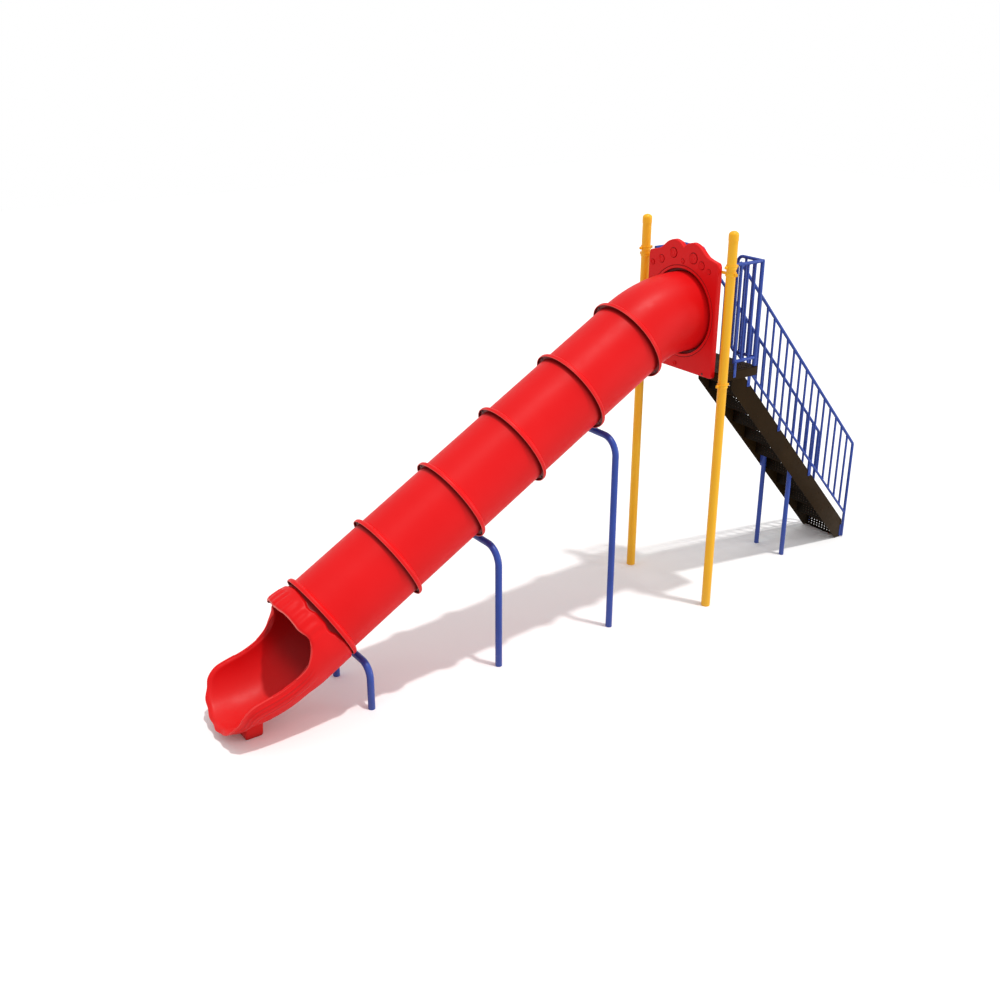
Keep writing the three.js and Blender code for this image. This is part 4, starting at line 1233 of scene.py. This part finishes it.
deck = {
    "height": 2.438,
    "front": 0.0033,
    "rear": 0.490,
    "half": 0.556,
    "skirt": 0.086,
    "sheet": 0.004,
    "notchRear": 0.05145,
    "notch": 0.53255,
    "ribSpread": 0.27,
    "ribInset": 0.005,
    "ribLow": 0.012,
    "ribHigh": 0.003,
}
half, notch, sheet, deckTop = deck["half"], deck["notch"], deck["sheet"], deck["height"]
frontX, notchX, deckRear = (postX + deck[name] for name in ("front", "notchRear", "rear"))
shell = Shell()
for x, end, reach in ((notchX, deckRear, half), (frontX, notchX, notch)):
    perforated(shell, end - x, 2 * reach, sheet, Matrix.Translation((x, -reach, deckTop - sheet)),
               sheetHoles["flat"])
low, high = deckTop - deck["skirt"], deckTop - seatGap
corners = [(frontX, notch), (frontX, -notch), (notchX, -notch), (notchX, -half),
           (deckRear, -half), (deckRear, half), (notchX, half), (notchX, notch)]
for start, end in zip(corners, corners[1:] + corners[:1]):
    uprightSheet(shell, start, end, low, high, sheet)
for k in (-1, 0, 1):
    # Stiffening ribs below the sheet
    y = k * deck["ribSpread"]
    uprightSheet(shell, (frontX + deck["ribInset"], y), (deckRear - deck["ribInset"], y),
                 low + deck["ribLow"], high - deck["ribHigh"], sheet)
finishPiece(shell, "brown_coating", "deck", 30, name="deckPan")
print("deck made")


# Stair

stair = {
    "steps": 11,
    "pitch": 1.12,
    "half": 0.237,
    "thick": 0.006,
    "depth": 0.306,
    "topDrop": 0.018,
    "heel": 0.210,
    "edge": 0.0015,
    "corner": 0.006,
    "bolt": (0.0065, 0.0035),
    "boltBacks": (0.045, 0.165),
    "boltDrop": 0.016,
    "sheet": 0.003,
    "endSheet": 0.0025,
    "nosing": 0.032,
    "overlap": 0.025,
    "setback": 0.020,
    "riserBorder": 3.2,
    "riserDrop": 0.0005,
    "foldDrop": 0.0002,
    "foldEdge": 0.001,
    "endDrop": 0.0004,
    "endEdge": 0.0008,
    "endInset": 0.004,
    "legRadius": 0.0254,
    "legInset": 0.0176,
    "legShare": 0.533,
    "legOverlap": 0.160,
    "tabWidth": 0.034,
    "tabSunk": 0.006,
    "tabDrop": 0.006,
    "tabCorner": 0.008,
}
rise = deckTop / stair["steps"]
run = rise / stair["pitch"]
stairHigh = deckTop - stair["topDrop"]
stairInner, half = stair["half"] - stair["thick"], stair["half"] - stair["thick"] - seatGap
front = deckRear + seatGap
toe = deckRear + (stairHigh - stair["depth"]) / stair["pitch"]
stairRear = deckRear + (stairHigh - stair["heel"]) / stair["pitch"]
sheet = stair["sheet"]


# Height of the stringers' upper edge, and the front of a step
def stairTop(x):
    return stairHigh - (x - deckRear) * stair["pitch"]


def nosingAt(height):
    return deckRear + (deckTop - height) / stair["pitch"] - stair["setback"]


for name, side in bothSides:
    outline = [(front, stairTop(front) - stair["depth"]), (toe, 0), (stairRear, 0),
               (stairRear, stair["heel"]), (front, stairTop(front))]
    y = side * stair["half"]
    place = unitPlace(axisY * max(y, y - side * stair["thick"]), axisX, axisZ, -axisY)
    shell = Shell()
    plate(shell, softened(outline, stair["corner"]), stair["thick"], stair["edge"], place)
    for step in range(1, stair["steps"]):
        for back in stair["boltBacks"]:  # bolts that carry each tread, on the outside
            seat = (nosingAt(rise * step) - back, y, rise * step - stair["boltDrop"])
            fastenSide(shell, button, *stair["bolt"], seat, side)
    finishPiece(shell, "brown_coating", f"{name}_stringer", 30)

shell = Shell()
place = unitPlace(Vector((nosingAt(rise) - stair["overlap"] - sheet, -half, stair["foldDrop"])),
                  axisY, axisZ, axisX)
perforated(shell, 2 * half, rise - sheet - stair["riserDrop"], sheet, place, sheetHoles["upright"])
finishPiece(shell, "brown_coating", "bottom_riser", 30)
for step in range(1, stair["steps"]):
    top, nosing = rise * step, nosingAt(rise * step)
    low = top - stair["nosing"]
    back = max(nosing - run - stair["overlap"], front + sheet)
    last = step == stair["steps"] - 1
    riserTop = deckTop - deck["skirt"] if last else top + rise - sheet - seatGap
    shell = Shell()
    perforated(shell, nosing - back, 2 * half, sheet,
               Matrix.Translation((back, -half, top - sheet)), sheetHoles["flat"])
    perforated(shell, 2 * half, riserTop - top, sheet,
               unitPlace(Vector((back, -half, top)), axisY, axisZ, axisX),
               sheetHoles["upright"], stair["riserBorder"])
    # The folded nosing and the folded ends against the stringers
    uprightSheet(shell, (nosing, -half), (nosing, half), low, top - stair["foldDrop"], sheet,
                 stair["foldEdge"])
    start, end = back + stair["endInset"], nosing - stair["endInset"]
    for side, ends in ((-1, (start, end)), (1, (end, start))):
        uprightSheet(shell, *((x, side * half) for x in ends), low, top - stair["endDrop"],
                     stair["endSheet"], stair["endEdge"])
    finishPiece(shell, "brown_coating", f"tread_{step:02d}", 30)
print("stair made")

legX = deckRear + (stairRear - deckRear) * stair["legShare"]
legTop = stairTop(legX) - stair["depth"] + stair["legOverlap"]
for name, side in bothSides:
    y = side * (stairInner - stair["legInset"] - stair["legRadius"])
    faces = (y + side * (stair["legRadius"] - stair["tabSunk"]), side * half)
    wide = stair["tabWidth"] / 2
    shell = Shell()
    rod(shell, (legX, y, 0), (legX, y, legTop), stair["legRadius"], 28, 0.08)
    tabPlate(shell, legX - wide, legX + wide, legTop - stair["legOverlap"],
             legTop - stair["tabDrop"], faces, stair["tabCorner"], stair["edge"])
    finishPiece(shell, "blue_paint", f"{name}_stair_leg", 40)
print("stair legs made")


# Handrails

rail = {
    "radius": 0.016,
    "lowRadius": 0.013,
    "barRadius": 0.0125,
    "out": 0.008,
    "topRise": 0.947,
    "lowRise": 0.107,
    "lowInset": 0.006,
    "bend": 0.048,
    "bars": 17,
    "tabPlaces": (6, 11, 15.6),
    "footLift": 0.012,
    "tabWidth": 0.044,
    "tabThick": 0.006,
    "tabDrop": 0.046,
    "tabEdge": 0.0012,
    "tabBolt": (0.0105, 0.0078),
    "corner": 0.006,
    "heelWidth": 0.040,
    "heelHeight": 0.150,
    "heelBolt": (0.006, 0.004),
    "heelBolts": (0.045, 0.115),
    "boltInset": 0.012,
    "weld": 0.0035,
    "weldReach": (1.2, 1.25),
}
guard = {
    "out": 0.536,
    "plane": 0.456,
    "top": 1.015,
    "gap": 0.088,
    "cornerRadius": 0.020,
    "radius": 0.016,
    "start": 0.178,
    "bars": 2,
    "inner": 0.223,
    "returnBars": 2,
    "bend": 0.062,
    "tabDrop": 0.062,
    "tabCorner": 0.005,
    "neckCorner": 0.004,
    "bolt": (0.008, 0.004),
    "boltDrop": 0.038,
    "clampFace": 0.08145,
}
# The weld's profile: the bar's share of the radius, and shares of the bead outwards and along
weldShares = ((0.9, 0, 0), (1, 1, 1 / 7), (1, 0.8, 0.8), (1, 0.25, 1.5), (0.9, 0, 1.7))


# A bar between two rails, with a small weld bead at each end
def weldedBar(shell, low, high, lowReach, highReach):
    radius, bead = rail["barRadius"], rail["weld"]
    rod(shell, low, high, radius, 18, 0.05)
    low, high = Vector(low), Vector(high)
    direction = (high - low).normalized()
    across = direction.orthogonal().normalized()
    profile = [(radius * share + bead * out, bead * along) for share, out, along in weldShares]
    for end, reach, outward in ((low, lowReach, direction), (high, highReach, -direction)):
        turned(shell, profile, 18, facing(end + outward * (reach - 0.001), across, outward))


railStart = postX + guard["plane"] + guard["radius"] + seatGap
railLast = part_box("near_handrail")[1].x - rail["radius"]
lowWeld = rail["lowRadius"] * rail["weldReach"][0]
topWeld = rail["radius"] * rail["weldReach"][1]
for name, side in bothSides:
    shell = Shell()
    y = side * (stair["half"] + rail["out"])
    topAt = lambda x: (x, y, stairTop(x) + rail["topRise"])
    lowAt = lambda x: (x, y, stairTop(x) + rail["lowRise"])
    corners = [topAt(railStart), topAt(railLast), (railLast, y, rail["footLift"])]
    pipe(shell, bentRun(corners, rail["bend"]), rail["radius"], 24, 0.05)
    rod(shell, lowAt(railStart), lowAt(railLast - rail["lowInset"]), rail["lowRadius"], 20, 0.05)
    pitch = (railLast - (postX + guard["plane"])) / (rail["bars"] + 1)
    for k in range(1, rail["bars"] + 1):
        x = railLast - pitch * k
        weldedBar(shell, lowAt(x), topAt(x), lowWeld, topWeld)
    face = side * (stair["half"] + seatGap)
    faces = (face, face + side * rail["tabThick"])
    for k in rail["tabPlaces"]:
        x, wide = railLast - pitch * k, rail["tabWidth"] / 2
        tabPlate(shell, x - wide, x + wide, stairTop(x) - rail["tabDrop"], lowAt(x)[2], faces,
                 rail["corner"], rail["tabEdge"])
        seat = (x, faces[1], stairTop(x) - rail["tabDrop"] / 2)
        fastenSide(shell, hexBolt, *rail["tabBolt"], seat, side)
    tabPlate(shell, railLast - rail["heelWidth"], railLast, rail["footLift"], rail["heelHeight"],
             faces, rail["corner"], rail["tabEdge"])
    for height in rail["heelBolts"]:
        seat = (railLast - rail["heelWidth"] + rail["boltInset"], faces[1], height)
        fastenSide(shell, hexBolt, *rail["heelBolt"], seat, side)
    finishPiece(shell, "blue_paint", f"{name}_handrail", 40)
print("handrails made")


# Guards round the deck

planeX, startX = postX + guard["plane"], postX + guard["start"]
top, low, wide = deckTop + guard["top"], deckTop + guard["gap"], guard["radius"]
for name, side in bothSides:
    shell = Shell()
    y = side * guard["out"]
    rod(shell, (planeX, y, deckTop + seatGap), (planeX, y, top + wide), guard["cornerRadius"],
        28, 0.7)
    for start, end in (
        ((postX + guard["clampFace"], y, top), (planeX, y, top)),
        ((startX, y, low), (planeX, y, low)),
        ((startX, y, low - wide), (startX, y, top)),
    ):
        rod(shell, start, end, wide, 24, 0.08)
    pitch = (guard["plane"] - guard["start"]) / (guard["bars"] + 1)
    for k in range(1, guard["bars"] + 1):
        x = startX + pitch * k
        weldedBar(shell, (x, y, low), (x, y, top), wide, wide)
    # The tab on the deck's skirt, and the neck that carries the guard on it
    face = side * (deck["half"] + seatGap)
    outerFace = face + side * rail["tabThick"]
    tabPlate(shell, startX - wide, startX + wide, deckTop - guard["tabDrop"], low,
             (face, outerFace), guard["tabCorner"], rail["tabEdge"])
    tabPlate(shell, startX - wide, startX + wide, deckTop + wide, low,
             (y + side * (wide - rail["tabThick"]), outerFace), guard["neckCorner"],
             rail["tabEdge"])
    seat = (startX, outerFace, deckTop - guard["boltDrop"])
    fastenSide(shell, hexBolt, *guard["bolt"], seat, side)
    finishPiece(shell, "blue_paint", f"{name}_side_guard", 40)
    shell = Shell()
    start, inner = (side * reach for reach in (
        guard["out"] - guard["cornerRadius"] - seatGap, guard["inner"]))
    corners = [(planeX, start, top), (planeX, inner, top),
               (planeX, inner, low), (planeX, start, low)]
    pipe(shell, bentRun(corners, guard["bend"], 12), wide, 24, 0.05)
    pitch = (guard["out"] - guard["inner"]) / (guard["returnBars"] + 1)
    for k in range(1, guard["returnBars"] + 1):
        barY = side * (guard["inner"] + pitch * k)
        weldedBar(shell, (planeX, barY, low), (planeX, barY, top), wide, wide)
    finishPiece(shell, "blue_paint", f"{name}_return_guard", 40)
print("guards made")


# Floor, lights and camera

stage = {
    "floorSize": 60,
    "floorColour": (0.70, 0.70, 0.70),
    "floorSeen": (1.0, 1.0, 1.0),
    "worldStrength": 0.70,
    "sunStrength": 1.60,
    "sunAngle": 2.6,
    "sunSlant": (0.102, -0.176, 1.0),
    "sunColour": (1.0, 0.985, 0.96),
    "fillStrength": 0.8,
    "fillSlant": (0.82, -0.55, 0.18),
    "fillAngle": 24,
    "fillColour": (1.0, 1.0, 1.0),
    "lampReach": 8,
}
scene = bpy.context.scene
floorMesh = bpy.data.meshes.new("floor")
reach = stage["floorSize"] / 2
floorMesh.from_pydata([(x, y, 0) for x, y in boxLoop(-reach, reach, -reach, reach)], [],
                      [(0, 1, 2, 3)])
floor = bpy.data.objects.new("floor", floorMesh)
scene.collection.objects.link(floor)
floorFinish = bpy.data.materials.new("floorFinish")
floorFinish.use_nodes = True
tree = floorFinish.node_tree
tree.nodes.clear()
# The floor is white to the eye, and throws a little less light back on the slide
rays = nodeIn(tree, "ShaderNodeLightPath").outputs
matte = nodeIn(tree, "ShaderNodeBsdfDiffuse")
tint = blendOf(tree, rays["Is Camera Ray"], stage["floorColour"], stage["floorSeen"])
tree.links.new(tint, matte.inputs["Color"])
output = nodeIn(tree, "ShaderNodeOutputMaterial")
tree.links.new(matte.outputs[0], output.inputs["Surface"])
floorMesh.materials.append(floorFinish)

world = bpy.data.worlds.new("paleRoom")
scene.world = world
world.use_nodes = True
tree = world.node_tree
tree.nodes.clear()
rays = nodeIn(tree, "ShaderNodeLightPath").outputs
seen = mathOf(tree, "MAXIMUM", rays["Is Camera Ray"], rays["Is Transmission Ray"])
plain = nodeIn(tree, "ShaderNodeBackground", Color=(1, 1, 1, 1), Strength=stage["worldStrength"])
white = nodeIn(tree, "ShaderNodeBackground", Color=(1, 1, 1, 1), Strength=1)
either = nodeIn(tree, "ShaderNodeMixShader")
output = nodeIn(tree, "ShaderNodeOutputWorld")
fill(tree, ((either.inputs[0], seen), (either.inputs[1], plain.outputs[0]),
            (either.inputs[2], white.outputs[0]), (output.inputs["Surface"], either.outputs[0])))

for name in ("sun", "fill"):
    slant = Vector(stage[name + "Slant"])
    lamp = bpy.data.lights.new(name, "SUN")
    lamp.energy = stage[name + "Strength"]
    lamp.angle = math.radians(stage[name + "Angle"])
    lamp.color = stage[name + "Colour"]
    holder = bpy.data.objects.new(name, lamp)
    holder.rotation_euler = slant.to_track_quat("Z", "Y").to_euler()
    holder.location = slant * stage["lampReach"]
    scene.collection.objects.link(holder)

eye = {
    "place": (-7.7012, -8.0321, 5.5804),
    "yaw": 55.3509,
    "pitch": 22.8117,
    "lens": 41.69,
    "sensor": 36,
    "clipEnd": 200,
}
yaw, pitchDown = math.radians(eye["yaw"]), math.radians(eye["pitch"])
look = Vector((math.cos(yaw) * math.cos(pitchDown), math.sin(yaw) * math.cos(pitchDown),
               -math.sin(pitchDown)))
camera = bpy.data.objects.new("camera", bpy.data.cameras.new("camera"))
camera.data.lens = eye["lens"]
camera.data.sensor_width = eye["sensor"]
camera.data.sensor_fit = "HORIZONTAL"
camera.data.clip_end = eye["clipEnd"]
camera.location = Vector(eye["place"]) + axisX * postX
camera.rotation_euler = look.to_track_quat("-Z", "Y").to_euler()
scene.collection.objects.link(camera)
scene.camera = camera
scene.view_settings.view_transform = "Standard"
print("stage made")
